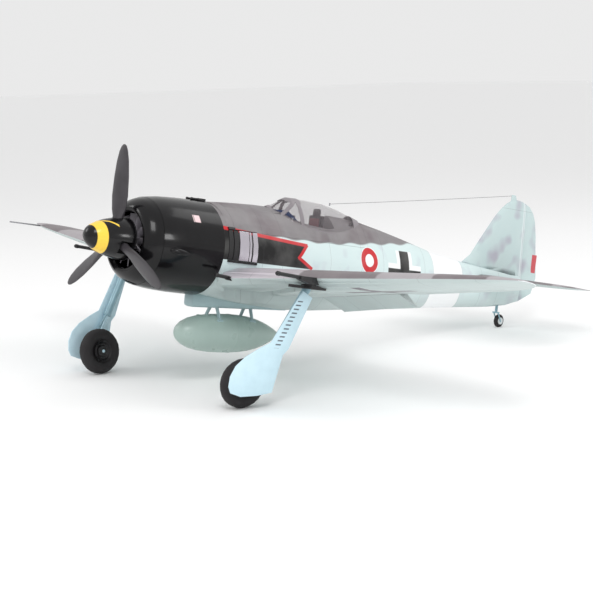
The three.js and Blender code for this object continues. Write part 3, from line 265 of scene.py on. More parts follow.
def wing_paint():
    """Matt paint on moulded foam, which keeps highlights broad and soft over a faint bead texture.

    Two greys in angled patches above, pale grey-blue below with a plain dark cross.
    """
    material, tree, surface = blank("matt_paint_on_foam_wing")
    where, coords = airframe_millimetres(tree)
    x, y, z = add_node(tree, "ShaderNodeSeparateXYZ", {0: where}).outputs
    out = calc(tree, "ABSOLUTE", x)
    noise = add_node(tree, "ShaderNodeTexNoise", {"Vector": where, "Scale": 1 / 60}).outputs[0]
    warp = calc(tree, "MULTIPLY_ADD", noise, 26.0, -13.0)
    leading = calc(tree, "MULTIPLY_ADD", out, 0.104, 235.1)
    aft = calc(tree, "SUBTRACT", y, leading)
    slant = calc(tree, "ADD", calc(tree, "MULTIPLY_ADD", aft, 0.45, out), warp)
    patches = []
    for middle, half in ((348.0, 87.0), (600.0, 50.0), (760.0, 45.0)):
        offset = calc(tree, "ABSOLUTE", calc(tree, "SUBTRACT", slant, middle))
        patches.append(edge(tree, calc(tree, "SUBTRACT", offset, half), 2.5))
    dark = any_of(tree, patches)
    root = edge(tree, calc(tree, "SUBTRACT", out, 225.0), 60)
    pale = blended(tree, root, linear(TOP_LIGHT), linear("#cfc8d0"))
    above = blended(tree, dark, pale, linear(TOP_DARK))
    faded = calc(tree, "MULTIPLY", patchy(tree, where, 80, 0.5, 0.75), 0.3)
    below = blended(tree, faded, linear(UNDER), linear(SIDE))
    for arm, paint in ((15, "#dde4e4"), (12, "#77747a")):
        cross = any_of(tree, [
            edge(tree, bar(tree, out, aft, 361 - arm, 361 + arm, 32, 168)),
            edge(tree, bar(tree, out, aft, 288, 428, 100 - arm, 100 + arm))])
        below = blended(tree, cross, below, linear(paint))
    facing = add_node(tree, "ShaderNodeVectorMath", {0: coords.outputs["Normal"], 1: UP},
                      operation="DOT_PRODUCT")
    # behind the nose of the section only what looks up is top, so end faces keep the underside colour
    behind = calc(tree, "MULTIPLY", calc(tree, "GREATER_THAN", aft, 50.0), 0.4)
    level = calc(tree, "SUBTRACT", facing.outputs["Value"], behind)
    top = add_node(tree, "ShaderNodeMapRange", {0: level, 1: -0.35, 2: -0.1}).outputs[0]
    # painted highlight: where the leading edge near the tip faces forward, it is painted pale
    tip = edge(tree, bar(tree, out, facing.outputs["Value"], 585, 720, -0.55, 0.3), 0.05)
    lines = any_of(tree, [seams(tree, out, (150, 232, 316, 420, 520, 629), 1.1),
                          seams(tree, aft, (62, 150), 1.1)])
    # painted highlight on the tip of the leading edge
    painted_tip_highlight = calc(tree, "MULTIPLY", tip, 0.85)
    colour = blended(tree, painted_tip_highlight, blended(tree, top, below, above), linear("#e9ecef"))
    finish_paint(tree, surface, where, colour, lines)
    return material


def tail_paint():
    """Matt paint on moulded foam: pale grey-blue with soft lavender blotches and a red trim tab."""
    material, tree, surface = blank("matt_paint_on_foam_tail")
    where, _ = airframe_millimetres(tree)
    x, y, z = add_node(tree, "ShaderNodeSeparateXYZ", {0: where}).outputs
    blotch = calc(tree, "MULTIPLY", patchy(tree, where, 40, 0.5, 0.74, 1.0), 0.8)
    colour = blended(tree, blotch, linear("#bfd2d2"), linear("#a9a4b3"))
    hinge = calc(tree, "MULTIPLY_ADD", z, -0.06, 1138.0)
    rim = calc(tree, "LESS_THAN", calc(tree, "ABSOLUTE", calc(tree, "SUBTRACT", y, hinge)), 4.0)
    colour = blended(tree, calc(tree, "MULTIPLY", rim, 0.6), colour, linear("#e2eaec"))
    lines = seams(tree, z, (168,), 1.0)
    finish_paint(tree, surface, where, colour, lines)
    return material


def tailplane_paint():
    """Matt paint on moulded foam: dark grey above with lighter patches, pale grey-blue below."""
    material, tree, surface = blank("matt_paint_on_foam_tailplane")
    where, coords = airframe_millimetres(tree)
    x, y, z = add_node(tree, "ShaderNodeSeparateXYZ", {0: where}).outputs
    above = blended(tree, patchy(tree, where, 60, 0.5, 0.56), linear(TOP_DARK), linear(TOP_LIGHT))
    facing = add_node(tree, "ShaderNodeVectorMath", {0: coords.outputs["Normal"], 1: UP},
                      operation="DOT_PRODUCT")
    top = add_node(tree, "ShaderNodeMapRange", {0: facing.outputs["Value"], 1: -0.2, 2: 0.05}).outputs[0]
    lines = seams(tree, calc(tree, "ABSOLUTE", x), (120, 215), 1.0)
    finish_paint(tree, surface, where, blended(tree, top, linear(UNDER), above), lines)
    return material


def moulded(name, code, low, high, grain=0.8, bump=0.12, second=None, **shader):
    """Moulded or painted plastic and metal: grain in millimetres, as coarse as shows, and uneven gloss."""
    material, tree, surface = blank(name, **shader)
    where, _ = airframe_millimetres(tree)
    patch = patchy(tree, where, 22, 0.35, 0.7, 5.0)
    colour = blended(tree, calc(tree, "MULTIPLY", patch, 0.35), linear(code), linear(second or code))
    tree.links.new(colour, surface.inputs["Base Color"])
    gloss = add_node(tree, "ShaderNodeMapRange", {0: patch, 3: low, 4: high})
    tree.links.new(gloss.outputs[0], surface.inputs["Roughness"])
    fine = add_node(tree, "ShaderNodeTexNoise", {"Vector": where, "Scale": 1 / grain, "Detail": 3.0})
    height = add_node(tree, "ShaderNodeBump", {
        "Height": fine.outputs[0], "Strength": bump, "Distance": 0.1 * MM})
    tree.links.new(height.outputs[0], surface.inputs["Normal"])
    return material


def cowl_gloss():
    """Gloss black ABS with a clear coat: sharp reflections, panel lines and one plain pale patch."""
    material, tree, surface = blank("gloss_black_abs_cowl", **{
        "Specular IOR Level": 0.2, "Coat Weight": 0.2, "Coat Roughness": 0.08})
    where, _ = airframe_millimetres(tree)
    x, y, z = add_node(tree, "ShaderNodeSeparateXYZ", {0: where}).outputs
    lines = seams(tree, y, (113, 178, 228), 1.0)
    patch = edge(tree, bar(tree, y, z, 176, 191, 45, 57))
    patch = calc(tree, "MULTIPLY", patch, calc(tree, "GREATER_THAN", x, 0.0))
    colour = blended(tree, patch, linear("#0e0d0f"), linear("#e3c9cb"))
    colour = blended(tree, lines, colour, linear("#050506"))
    tree.links.new(colour, surface.inputs["Base Color"])
    haze = patchy(tree, where, 30, 0.4, 0.7, 4.0)
    gloss = add_node(tree, "ShaderNodeMapRange", {0: haze, 3: 0.16, 4: 0.26})
    tree.links.new(gloss.outputs[0], surface.inputs["Roughness"])
    bump = add_node(tree, "ShaderNodeBump", {
        "Height": calc(tree, "SUBTRACT", 0.0, lines), "Strength": 0.6, "Distance": 0.5 * MM})
    tree.links.new(bump.outputs[0], surface.inputs["Normal"])
    return material


def spinner_gloss():
    """Gloss black moulded spinner with one painted yellow band."""
    material, tree, surface = blank("gloss_black_spinner", **{
        "Specular IOR Level": 0.25, "Coat Weight": 0.2, "Coat Roughness": 0.08})
    where, _ = airframe_millimetres(tree)
    x, y, z = add_node(tree, "ShaderNodeSeparateXYZ", {0: where}).outputs
    around = calc(tree, "ARCTAN2", x, z)
    middle = calc(tree, "MULTIPLY_ADD", calc(tree, "ABSOLUTE", around), 3.1, 17.3)
    yellow = edge(tree, calc(tree, "SUBTRACT", calc(tree, "ABSOLUTE", calc(tree, "SUBTRACT", y, middle)), 8.8))
    trail = calc(tree, "MULTIPLY_ADD", around, 34.4, 20.4)      # the thin line that winds aft out of the band
    thin = edge(tree, calc(tree, "SUBTRACT", calc(tree, "ABSOLUTE", calc(tree, "SUBTRACT", y, trail)), 2.4))
    reach = edge(tree, calc(tree, "SUBTRACT", calc(tree, "ABSOLUTE", calc(tree, "SUBTRACT", y, 38.0)), 13.0))
    yellow = any_of(tree, [yellow, calc(tree, "MULTIPLY", thin, reach)])
    scuff = calc(tree, "MULTIPLY", patchy(tree, where, 9, 0.5, 0.75, 4.0), 0.12)
    band = blended(tree, scuff, linear("#fbd24e"), linear("#c9a02c"))
    tree.links.new(blended(tree, yellow, linear("#0e0d0f"), band), surface.inputs["Base Color"])
    gloss = add_node(tree, "ShaderNodeMapRange", {0: scuff, 2: 0.12, 3: 0.18, 4: 0.3})
    tree.links.new(gloss.outputs[0], surface.inputs["Roughness"])
    return material


def door_paint():
    """Satin pale blue paint with a plain ladder of short dark ticks down the leg door."""
    material, tree, surface = blank("satin_pale_blue_paint")
    where, coords = airframe_millimetres(tree)
    x, y, z = add_node(tree, "ShaderNodeSeparateXYZ", {0: where}).outputs
    facing = add_node(tree, "ShaderNodeSeparateXYZ", {0: coords.outputs["Normal"]}).outputs[0]
    outer = calc(tree, "GREATER_THAN", calc(tree, "MULTIPLY", facing, x), 0.0)
    tick = calc(tree, "LESS_THAN", calc(tree, "FRACT", calc(tree, "DIVIDE", z, 7.0)), 0.34)
    line = calc(tree, "MULTIPLY_ADD", z, 0.36, 292.0)           # runs down the middle of the door
    near = calc(tree, "LESS_THAN", calc(tree, "ABSOLUTE", calc(tree, "SUBTRACT", y, line)), 5.5)
    span = edge(tree, calc(tree, "SUBTRACT", calc(tree, "ABSOLUTE", calc(tree, "ADD", z, 110.0)), 42.0))
    ticks = calc(tree, "MULTIPLY", calc(tree, "MULTIPLY", tick, near), calc(tree, "MULTIPLY", span, outer))
    wear = patchy(tree, where, 20, 0.4, 0.7, 4.0)
    base = blended(tree, calc(tree, "MULTIPLY", wear, 0.3), linear("#cbe6f1"), linear("#b4d2de"))
    tree.links.new(blended(tree, ticks, base, linear("#5b6470")), surface.inputs["Base Color"])
    gloss = add_node(tree, "ShaderNodeMapRange", {0: wear, 3: 0.28, 4: 0.42})
    tree.links.new(gloss.outputs[0], surface.inputs["Roughness"])
    return material


def clear_sheet():
    """Vacuum-formed clear sheet, lightly smoked, with faint scuffs."""
    material, tree, surface = blank("clear_vacuum_formed_sheet", **{"Specular IOR Level": 0.4, "IOR": 1.45})
    where, _ = airframe_millimetres(tree)
    x, y, z = add_node(tree, "ShaderNodeSeparateXYZ", {0: where}).outputs
    scuff = patchy(tree, where, 12, 0.5, 0.8, 5.0)
    smoke = blended(tree, scuff, linear("#8f878b"), linear("#a39da1"))
    pane = edge(tree, convex(tree, y, z, [(402, 90), (428, 91), (449, 72)]))       # dark quarter pane
    tree.links.new(blended(tree, pane, smoke, linear("#2f3a58")), surface.inputs["Base Color"])
    opacity = add_node(tree, "ShaderNodeMapRange", {0: pane, 3: 0.18, 4: 0.85})
    tree.links.new(opacity.outputs[0], surface.inputs["Alpha"])
    gloss = add_node(tree, "ShaderNodeMapRange", {0: scuff, 3: 0.03, 4: 0.1})
    tree.links.new(gloss.outputs[0], surface.inputs["Roughness"])
    return material


# The painted foams, glosses and clear sheet say what they give the eye in their own functions.
PAINT = {
    "fuselage": fuselage_paint(), "wing": wing_paint(), "tail": tail_paint(), "cowl": cowl_gloss(),
    "spinner": spinner_gloss(), "door": door_paint(), "glass": clear_sheet(),
    "tailplane": tailplane_paint(),
    # glass-filled nylon: slightly grey black, dull, with a visible moulded grain
    "nylon": moulded("black_glass_filled_nylon", "#141315", 0.42, 0.58, 1.2, 0.25, "#252326"),
    # nylon blades: grey black with a soft sheen that shows their twist
    "blade": moulded("grey_black_nylon_blade", "#353236", 0.32, 0.46, 1.2, 0.2, "#474449"),
    # paint over cast alloy: a soft blue-grey with a tight satin highlight
    "leg": moulded("blue_grey_paint_on_alloy", "#8fb0bc", 0.28, 0.42, 1.0, 0.15, "#7c9ca8", Metallic=0.15),
    # turned alloy: paler and smoother than the painted casting, so the strut reads as two parts
    "slider": moulded("satin_pale_blue_alloy", "#bcd9e4", 0.22, 0.34, 1.0, 0.1, "#a9c9d5", Metallic=0.15),
    # bare aluminium sheet: bright bands that mirror the sky in a broad streak
    "gill": moulded("satin_aluminium_sheet", "#c8c3cb", 0.24, 0.36, 1.0, 0.08, "#b3aeb8", Metallic=1.0),
    # moulded nylon fan: painted highlight, its dark nylon lifted to mid grey so its vanes stand out in the dark
    # intake
    "fan": moulded("dark_nylon_fan_with_painted_highlight", "#77737a", 0.22, 0.34, 1.2, 0.15, "#8c888f"),
    # pale moulded nylon: a chalky disc inside the black tyre
    "hub": moulded("pale_grey_nylon_hub", "#d5d9da", 0.4, 0.55, 1.2, 0.15, "#c3c8ca"),
    # brushed-on enamel: a slightly uneven, faded red
    "red": moulded("red_painted_tab", "#c9535a", 0.4, 0.55, 1.4, 0.15, "#b4484f"),
    # sprayed ABS: even blue-grey with a dull satin surface
    "rack": moulded("blue_grey_paint_on_abs", "#9fb8bc", 0.38, 0.5, 1.2, 0.15, "#b3c8ca"),
    # satin paint on a vacuum-formed shell: grey green with a long soft highlight
    "tank": moulded("grey_green_satin_paint", "#a9bdb6", 0.26, 0.4, 1.6, 0.1, "#9db2ab"),
    # foam rubber: near black and fully matt, with a coarse skin
    "tyre": moulded("solid_foam_rubber", "#1d1a1c", 0.7, 0.86, 1.4, 0.45, "#2b282a"),
    # drawn steel rod: thin bright lines
    "steel": moulded("plain_drawn_steel", "#a4a4a8", 0.22, 0.36, 0.9, 0.1, "#8c8c90", Metallic=1.0),
    # anodised can: dim grey metal behind the fan
    "alloy": moulded("anodised_aluminium_can", "#8a8a90", 0.25, 0.4, 0.9, 0.1, "#75757b", Metallic=1.0),
    # pultruded carbon: near black with a fine streaky grain
    "carbon": moulded("pultruded_carbon_tube", "#232326", 0.3, 0.45, 0.8, 0.3, "#2f2f33"),
    # heat-shrink sleeve: deep blue plastic with a wet edge
    "sleeve": moulded("blue_heat_shrink_sleeve", "#24365c", 0.25, 0.4, 2.0, 0.15, "#2f4470"),
    # painted canopy bars: the same matt grey as the spine
    "frame": moulded("grey_painted_frame", "#8a8488", 0.4, 0.52, 1.2, 0.15, "#7a7478"),
    # leathercloth pad: dark red with a coarse grain
    "dark_red": moulded("dark_red_leathercloth", "#6b1c28", 0.5, 0.65, 1.5, 0.4, "#55141e"),
    # elastic thread: dull grey with no highlight
    "thread": moulded("grey_elastic_thread", "#5e5d60", 0.5, 0.6, 0.6, 0.2, "#6d6c70"),
}


# ---------- Modelling tools ----------
def begin(name, add, **settings):
    """Adds a primitive with nothing else selected."""
    bpy.ops.object.select_all(action="DESELECT")
    add(**settings)
    piece = bpy.context.object
    piece.name = piece.data.name = name
    return piece


def only(piece):
    bpy.ops.object.select_all(action="DESELECT")
    piece.select_set(True)
    bpy.context.view_layer.objects.active = piece


def drawn(name, stations, sides=32):
    """A closed form drawn out of a disc along Z. A station is (x, y, z, half-width, half-depth), in metres."""
    x, y, z, a, b = stations[0]
    piece = begin(name, bpy.ops.mesh.primitive_circle_add, vertices=sides, radius=1, fill_type="NGON")
    bpy.ops.object.mode_set(mode="EDIT")
    bpy.ops.mesh.select_all(action="SELECT")
    bpy.ops.transform.resize(value=(a, b, 1), center_override=(0, 0, 0))
    bpy.ops.transform.translate(value=(x, y, z))
    for (x0, y0, z0, a0, b0), (x1, y1, z1, a1, b1) in zip(stations, stations[1:]):
        bpy.ops.mesh.extrude_region_move(TRANSFORM_OT_translate={"value": (x1 - x0, y1 - y0, z1 - z0)})
        bpy.ops.transform.resize(value=(a1 / a0, b1 / b0, 1), center_override=(x1, y1, z1))
    bpy.ops.mesh.select_all(action="SELECT")
    bpy.ops.mesh.normals_make_consistent(inside=False)
    bpy.ops.object.mode_set(mode="OBJECT")
    return piece


def lathe(name, profile, sides=64):
    """A turned form about the shaft: profile rows are (radius, distance aft), in millimetres."""
    piece = drawn(name, [(0, 0, y * MM, r * MM, r * MM) for r, y in profile], sides)
    piece.data.transform(Matrix.Rotation(-math.pi / 2, 4, "X"))
    return piece


def between(piece, start, end):
    """Lays a form drawn along Z from one airframe point towards another, both in millimetres."""
    start, end = Vector(start) * MM, Vector(end) * MM
    turn = (end - start).to_track_quat("Z", "Y").to_matrix().to_4x4()
    piece.data.transform(Matrix.Translation(start) @ turn)
    return piece


def rod(name, start, end, radius, end_radius=None, sides=24):
    """A rod with a small chamfer at both ends, all in millimetres."""
    last = end_radius or radius
    length, nip = math.dist(start, end), min(radius, last) * 0.25
    rows = [(0, radius - nip), (nip, radius), (length - nip, last), (length, last - nip)]
    return between(drawn(name, [(0, 0, z * MM, r * MM, r * MM) for z, r in rows], sides), start, end)


def block(name, low, high, bevel=0.8):
    """A box with rounded edges between two airframe points, in millimetres."""
    low, high = Vector(low) * MM, Vector(high) * MM
    piece = begin(name, bpy.ops.mesh.primitive_cube_add, size=1)
    piece.data.transform(Matrix.Translation((low + high) / 2) @ Matrix.Diagonal((*(high - low), 1)))
    bpy.ops.object.mode_set(mode="EDIT")
    bpy.ops.mesh.select_all(action="SELECT")
    bpy.ops.mesh.bevel(offset=bevel * MM, segments=2, affect="EDGES")
    bpy.ops.object.mode_set(mode="OBJECT")
    return piece


def drop_faces(piece, unwanted):
    """Deletes the faces that a test picks out."""
    only(piece)
    bpy.ops.object.mode_set(mode="EDIT")
    bpy.ops.mesh.select_mode(type="FACE")
    bpy.ops.mesh.select_all(action="DESELECT")
    bpy.ops.object.mode_set(mode="OBJECT")
    for face in piece.data.polygons:
        face.select = bool(unwanted(face))
    bpy.ops.object.mode_set(mode="EDIT")
    bpy.ops.mesh.delete(type="FACE")
    bpy.ops.object.mode_set(mode="OBJECT")


def cut_off(piece, point, outwards, fill=True):
    """Cuts a piece at a plane, given in its own space, and drops what lies outwards of it."""
    only(piece)
    bpy.ops.object.mode_set(mode="EDIT")
    bpy.ops.mesh.select_all(action="SELECT")
    bpy.ops.mesh.bisect(plane_co=point, plane_no=outwards, clear_outer=True, use_fill=fill)
    bpy.ops.object.mode_set(mode="OBJECT")
    return piece


def thicken(piece, thickness, offset=-1):
    wall = piece.modifiers.new("wall", "SOLIDIFY")
    wall.thickness, wall.offset = thickness * MM, offset
    only(piece)
    bpy.ops.object.modifier_apply(modifier=wall.name)


def joined(name, parts):
    bpy.ops.object.select_all(action="DESELECT")
    for part in parts:
        part.select_set(True)
    bpy.context.view_layer.objects.active = parts[0]
    bpy.ops.object.join()
    parts[0].name = parts[0].data.name = name
    return parts[0]


def other_side(piece, name):
    """A mirrored copy for the starboard side."""
    twin = bpy.data.objects.new(name, piece.data.copy())
    bpy.context.scene.collection.objects.link(twin)
    twin.data.transform(Matrix.Diagonal((-1, 1, 1, 1)))
    twin.data.flip_normals()
    return twin


def settle(piece, body, paint, nodes=(), angle=35, placed=False):
    """Puts a piece in the row frame, smooths it, paints it and lets it ride."""
    if not placed:
        piece.data.transform(AIR)
    only(piece)
    bpy.ops.object.shade_smooth_by_angle(angle=math.radians(angle))
    piece.data.materials.clear()
    piece.data.materials.append(PAINT[paint])
    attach(piece, body)
    if nodes:
        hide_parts(*nodes)
    return piece


def smooth_copy(node, paint, angle=35, bevel=0, name=None):
    """A merged, smooth-shaded copy of a CAD node, with softened edges where `bevel` is given in millimetres."""
    piece = bpy.data.objects.new(name or f"{node}_finished", frame["nodes"][node].data.copy())
    bpy.context.scene.collection.objects.link(piece)
    only(piece)
    bpy.ops.object.mode_set(mode="EDIT")
    bpy.ops.mesh.select_all(action="SELECT")
    bpy.ops.mesh.remove_doubles(threshold=0.01 * MM)
    bpy.ops.mesh.dissolve_limited(angle_limit=math.radians(0.5))
    bpy.ops.object.mode_set(mode="OBJECT")
    if bevel:
        soft = piece.modifiers.new("edges", "BEVEL")
        soft.width, soft.segments, soft.limit_method = bevel * MM, 2, "ANGLE"
        soft.angle_limit = math.radians(40)
        bpy.ops.object.modifier_apply(modifier=soft.name)
    return settle(piece, BODY_OF[node], paint, [node], angle, placed=True)


# ---------- Aerial ----------
# A light elastic thread, taut between the stub on the canopy and the post on the fin.
WIRE_RADIUS = 0.4
WIRE_POINTS = [
    (556, 117.2), (600, 123.6), (645, 130.2), (690, 136.8), (735, 143.5), (780, 150.2), (825, 157.0),
    (870, 163.8), (915, 170.7), (960, 177.6), (1005, 184.5), (1050, 191.5), (1085.8, 197.2)]


def string_aerial():
    route = [air(0, y, z) for y, z in WIRE_POINTS]
    piece = begin("aerial_thread", bpy.ops.mesh.primitive_circle_add, vertices=8,
                  radius=WIRE_RADIUS * MM, fill_type="NGON")
    bpy.ops.object.mode_set(mode="EDIT")
    bpy.ops.mesh.select_all(action="SELECT")
    spans = [(b - a).length for a, b in zip(route, route[1:])]
    for span in spans:
        bpy.ops.mesh.extrude_region_move(TRANSFORM_OT_translate={"value": (0, 0, span)})
    bpy.ops.mesh.select_all(action="SELECT")
    bpy.ops.mesh.normals_make_consistent(inside=False)
    bpy.ops.object.mode_set(mode="OBJECT")
    heading = (route[-1] - route[0]).normalized()
    turn = heading.to_track_quat("Z", "Y")
    cuts = [sum(spans[:i]) for i in range(len(route))]
    for vertex in piece.data.vertices:
        nearest = min(range(len(cuts)), key=lambda i: abs(cuts[i] - vertex.co.z))
        vertex.co = route[nearest] + turn @ Vector((vertex.co.x, vertex.co.y, 0))
    only(piece)
    bpy.ops.object.shade_smooth_by_angle(angle=math.radians(50))
    piece.data.materials.append(PAINT["thread"])
    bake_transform(piece)
    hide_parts("antenna_wire")


string_aerial()


# ---------- Foam, and the CAD shapes that only need edges and a finish ----------
COPIES = [
    ("fuselage", "fuselage", 30, 0), ("hatch", "fuselage", 30, 0), ("fin", "tail", 35, 0),
    ("rudder", "tail", 35, 0),
    ("motor_mount", "carbon", 35, 0), ("motor_stator", "alloy", 35, 0), ("motor_bell", "alloy", 35, 0),
    ("prop_hub", "nylon", 35, 0), ("cooling_fan", "fan", 35, 0), ("wing_spar", "carbon", 50, 0),
    ("battery", "sleeve", 35, 2.0), ("speed_controller", "sleeve", 35, 1.5), ("receiver", "nylon", 35, 1.0),
    ("elevator_servo", "nylon", 35, 0.5), ("rudder_servo", "nylon", 35, 0.5), ("pitot_tube", "steel", 50, 0),
    ("elevator_joiner", "steel", 50, 0), ("tail_wheel_fork", "leg", 40, 0), ("tail_wheel", "tyre", 40, 0)]
for side in ("left", "right"):
    COPIES += [(f"wing_{side}", "wing", 35, 0), (f"flap_{side}", "wing", 35, 0),
               (f"aileron_{side}", "wing", 35, 0),
               (f"tailplane_{side}", "tailplane", 35, 0), (f"elevator_{side}", "tailplane", 35, 0),
               (f"retract_unit_{side}", "nylon", 35, 0.8),
               (f"gear_door_{side}", "door", 30, 0.5), (f"tyre_{side}", "tyre", 40, 0),
               (f"wheel_hub_{side}", "nylon", 35, 0)]
for node, paint, angle, bevel in COPIES:
    smooth_copy(node, paint, angle, bevel)


# ---------- Nose ----------
COWL_WALL = 2.6
COWL_OUTSIDE = [(78.3, 112.4), (80.4, 124), (82.5, 140), (83.9, 158), (85.0, 180), (85.6, 210), (86, 240)]


def make_cowl():
    """Gloss shell with side blisters."""
    shell = lathe("cowl_shell", COWL_OUTSIDE, 96)
    drop_faces(shell, lambda face: len(face.vertices) > 4)     # the end discs
    thicken(shell, COWL_WALL)
    blisters = []
    for x in (-1, 1):
        rows = [(0.05, 0), (3, 2), (5, 8), (6, 17), (5, 29), (2.6, 39), (0.1, 45)]
        blister = drawn("blister", [(0, 0, z * MM, 0.8 * r * MM, r * MM) for r, z in rows], 32)
        blisters.append(between(blister, (x * 80.6, 126, -9), (x * 83.6, 171, -13)))
    settle(joined("cowl_shell", [shell, *blisters]), "airframe", "cowl", ["cowl"], 35)


def make_collar():
    """Painted foam collar that the cowl's rear edge overlaps."""
    collar = lathe("nose_collar", [(83.4, 232), (84.2, 240), (84.4, 251)], 96)
    drop_faces(collar, lambda face: len(face.vertices) > 4)
    thicken(collar, 1.6)
    settle(collar, "airframe", "fuselage")


def make_nose_ring():
    profile = [(52, 98), (50, 89), (52, 85), (56, 84), (61, 85.5), (67, 90), (73, 98), (75.8, 105), (78, 112),
               (74, 112), (60, 104)]
    ring = lathe("nose_ring", profile, 96)
    drop_faces(ring, lambda face: len(face.vertices) > 4)
    only(ring)
    bpy.ops.object.mode_set(mode="EDIT")
    bpy.ops.mesh.select_mode(type="EDGE")
    bpy.ops.mesh.select_all(action="DESELECT")
    bpy.ops.mesh.select_non_manifold()
    bpy.ops.mesh.bridge_edge_loops()
    bpy.ops.mesh.select_all(action="SELECT")
    bpy.ops.mesh.normals_make_consistent(inside=False)
    bpy.ops.object.mode_set(mode="OBJECT")
    settle(ring, "airframe", "cowl", ["cowl_ring"], 35)


def make_propeller():
    smooth_copy("spinner", "spinner", 40)
    for i in (1, 2, 3):
        smooth_copy(f"blade_{i}", "blade", 60)


def make_guns():
    """Deck guns with breech blocks, and wing cannons: hollow-mouthed barrels in angular fairings."""
    parts = []
    for x in (-7, 7):
        parts += [rod("barrel", (x, 212, 87.6), (x, 236, 88.0), 1.9),
                  rod("muzzle", (x, 211, 87.6), (x, 215, 87.6), 2.4),
                  block("breech", (x - 3, 226, 85.5), (x + 3, 243, 90), 0.8)]
    settle(joined("deck_gun_barrels", parts), "airframe", "nylon", ["deck_guns"])
    for place, x, muzzle, edge_y, tail_y, level, depth in (("root", 98, 216, 246, 286, -46, 18),
                                                           ("outer", 305, 180, 232, 281, -28, 9)):
        start = (x, muzzle, level + 3)
        barrel = rod("barrel", start, (x, edge_y + 8, level), 3.3)
        sleeve = rod("sleeve", (x, muzzle + 1, level + 3), (x, muzzle + 8, level + 2.6), 3.9)
        mouth = drawn("mouth", [(0, 0, 0, 2.4 * MM, 2.4 * MM), (0, 0, 0.8 * MM, 2.2 * MM, 2.2 * MM)], 20)
        between(mouth, (x, muzzle - 0.4, level + 3), (x, muzzle + 4, level + 3))
        fairing = block("fairing", (x - 7, edge_y - 2, level - depth), (x + 7, tail_y, level + 3), 1.0)
        for side in (-1, 1):     # the sides close to a point aft, and the chin rises to meet the barrel
            cut_off(fairing, (Vector((x + side * 7, (edge_y + tail_y) / 2, 0))) * MM, (side, 0.34, 0))
        cut_off(fairing, Vector((0, edge_y - 2, level - 3)) * MM, (0, -0.3, -1))
        left = joined(f"{place}_cannon_gun_left", [barrel, sleeve, mouth, fairing])
        right = other_side(left, f"{place}_cannon_gun_right")
        settle(left, "airframe", "nylon", [f"{place}_cannon_left"])
        settle(right, "airframe", "nylon", [f"{place}_cannon_right"])


def make_gills():
    """Bright gill strips and dark trims on the fuselage side behind the cowl, cut from the side's own curve."""
    strips = [("gill", 278, 301, 1.6), ("gill", 303, 308, 1.2), ("gill", 311, 323, 1.9),
              ("nylon", 252, 262, 1.0), ("nylon", 264, 275, 1.4)]
    back = AIR.inverted()
    for name, side in (("left", 1), ("right", -1)):
        made = {"gill": [], "nylon": []}
        rows = [(paint, y0, y1, -13, 39, t) for paint, y0, y1, t in strips]
        rows += [("nylon", 252, 322, 39.5, 43.5, 2.6), ("nylon", 252, 324, -18, -14, 2.6)]
        for paint, y0, y1, z0, z1, t in rows:
            skin = bpy.data.objects.new("strip", frame["nodes"]["fuselage"].data.copy())
            bpy.context.scene.collection.objects.link(skin)
            skin.data.transform(back)
            only(skin)
            bpy.ops.object.mode_set(mode="EDIT")
            bpy.ops.mesh.select_all(action="SELECT")
            bpy.ops.mesh.remove_doubles(threshold=0.01 * MM)
            bpy.ops.object.mode_set(mode="OBJECT")
            for point, way in (((0, y0, 0), (0, -1, 0)), ((0, y1, 0), (0, 1, 0)), ((0, 0, z0), (0, 0, -1)),
                               ((0, 0, z1), (0, 0, 1)), ((side * 60, 0, 0), (-side, 0, 0))):
                cut_off(skin, Vector(point) * MM, way, fill=False)
            drop_faces(skin, lambda face: face.normal.x * side < 0.5)
            thicken(skin, t, 1)
            made[paint].append(skin)
        settle(joined(f"gill_strips_{name}", made["gill"]), "airframe", "gill", (), 35)
        settle(joined(f"gill_trims_{name}", made["nylon"]), "airframe", "nylon",
               [f"exhaust_panel_{name}"], 35)


make_cowl()
make_collar()
make_nose_ring()
make_propeller()
make_guns()
make_gills()


# ---------- Canopy and cockpit ----------
CANOPY_FRONT, CANOPY_LENGTH = 392, 236
CANOPY_FORM = [
    (0.00, 15, 93.4), (0.08, 25, 101), (0.205, 34.5, 115.5), (0.37, 37.5, 116.6),
    (0.58, 37, 114.6), (0.75, 32, 108), (0.88, 25, 100), (1.00, 14, 92.5)]


def canopy_at(share):
    """Half-width and top along the canopy, blended straight between rows."""
    for (s0, w0, t0), (s1, w1, t1) in zip(CANOPY_FORM, CANOPY_FORM[1:]):
        if share <= s1:
            k = (share - s0) / (s1 - s0)
            return w0 + (w1 - w0) * k, t0 + (t1 - t0) * k
    return CANOPY_FORM[-1][1:]


def canopy_sheet(name, lift, along, around):
    """The hood's curved sheet, from the front of the windscreen to the rear of the hood."""
    piece = begin(name, bpy.ops.mesh.primitive_grid_add, x_subdivisions=along, y_subdivisions=around, size=2)
    for vertex in piece.data.vertices:
        share, turn = (vertex.co.x + 1) / 2, (vertex.co.y + 1) / 2 * math.pi
        width, top = canopy_at(share)
        c, s = math.cos(turn), math.sin(turn)
        x = (width + lift) * math.copysign(abs(c) ** 0.92, c)
        z = 58 + (top + lift - 58) * s ** 0.92
        vertex.co = Vector((x, CANOPY_FRONT + share * CANOPY_LENGTH, z)) * MM
    return piece


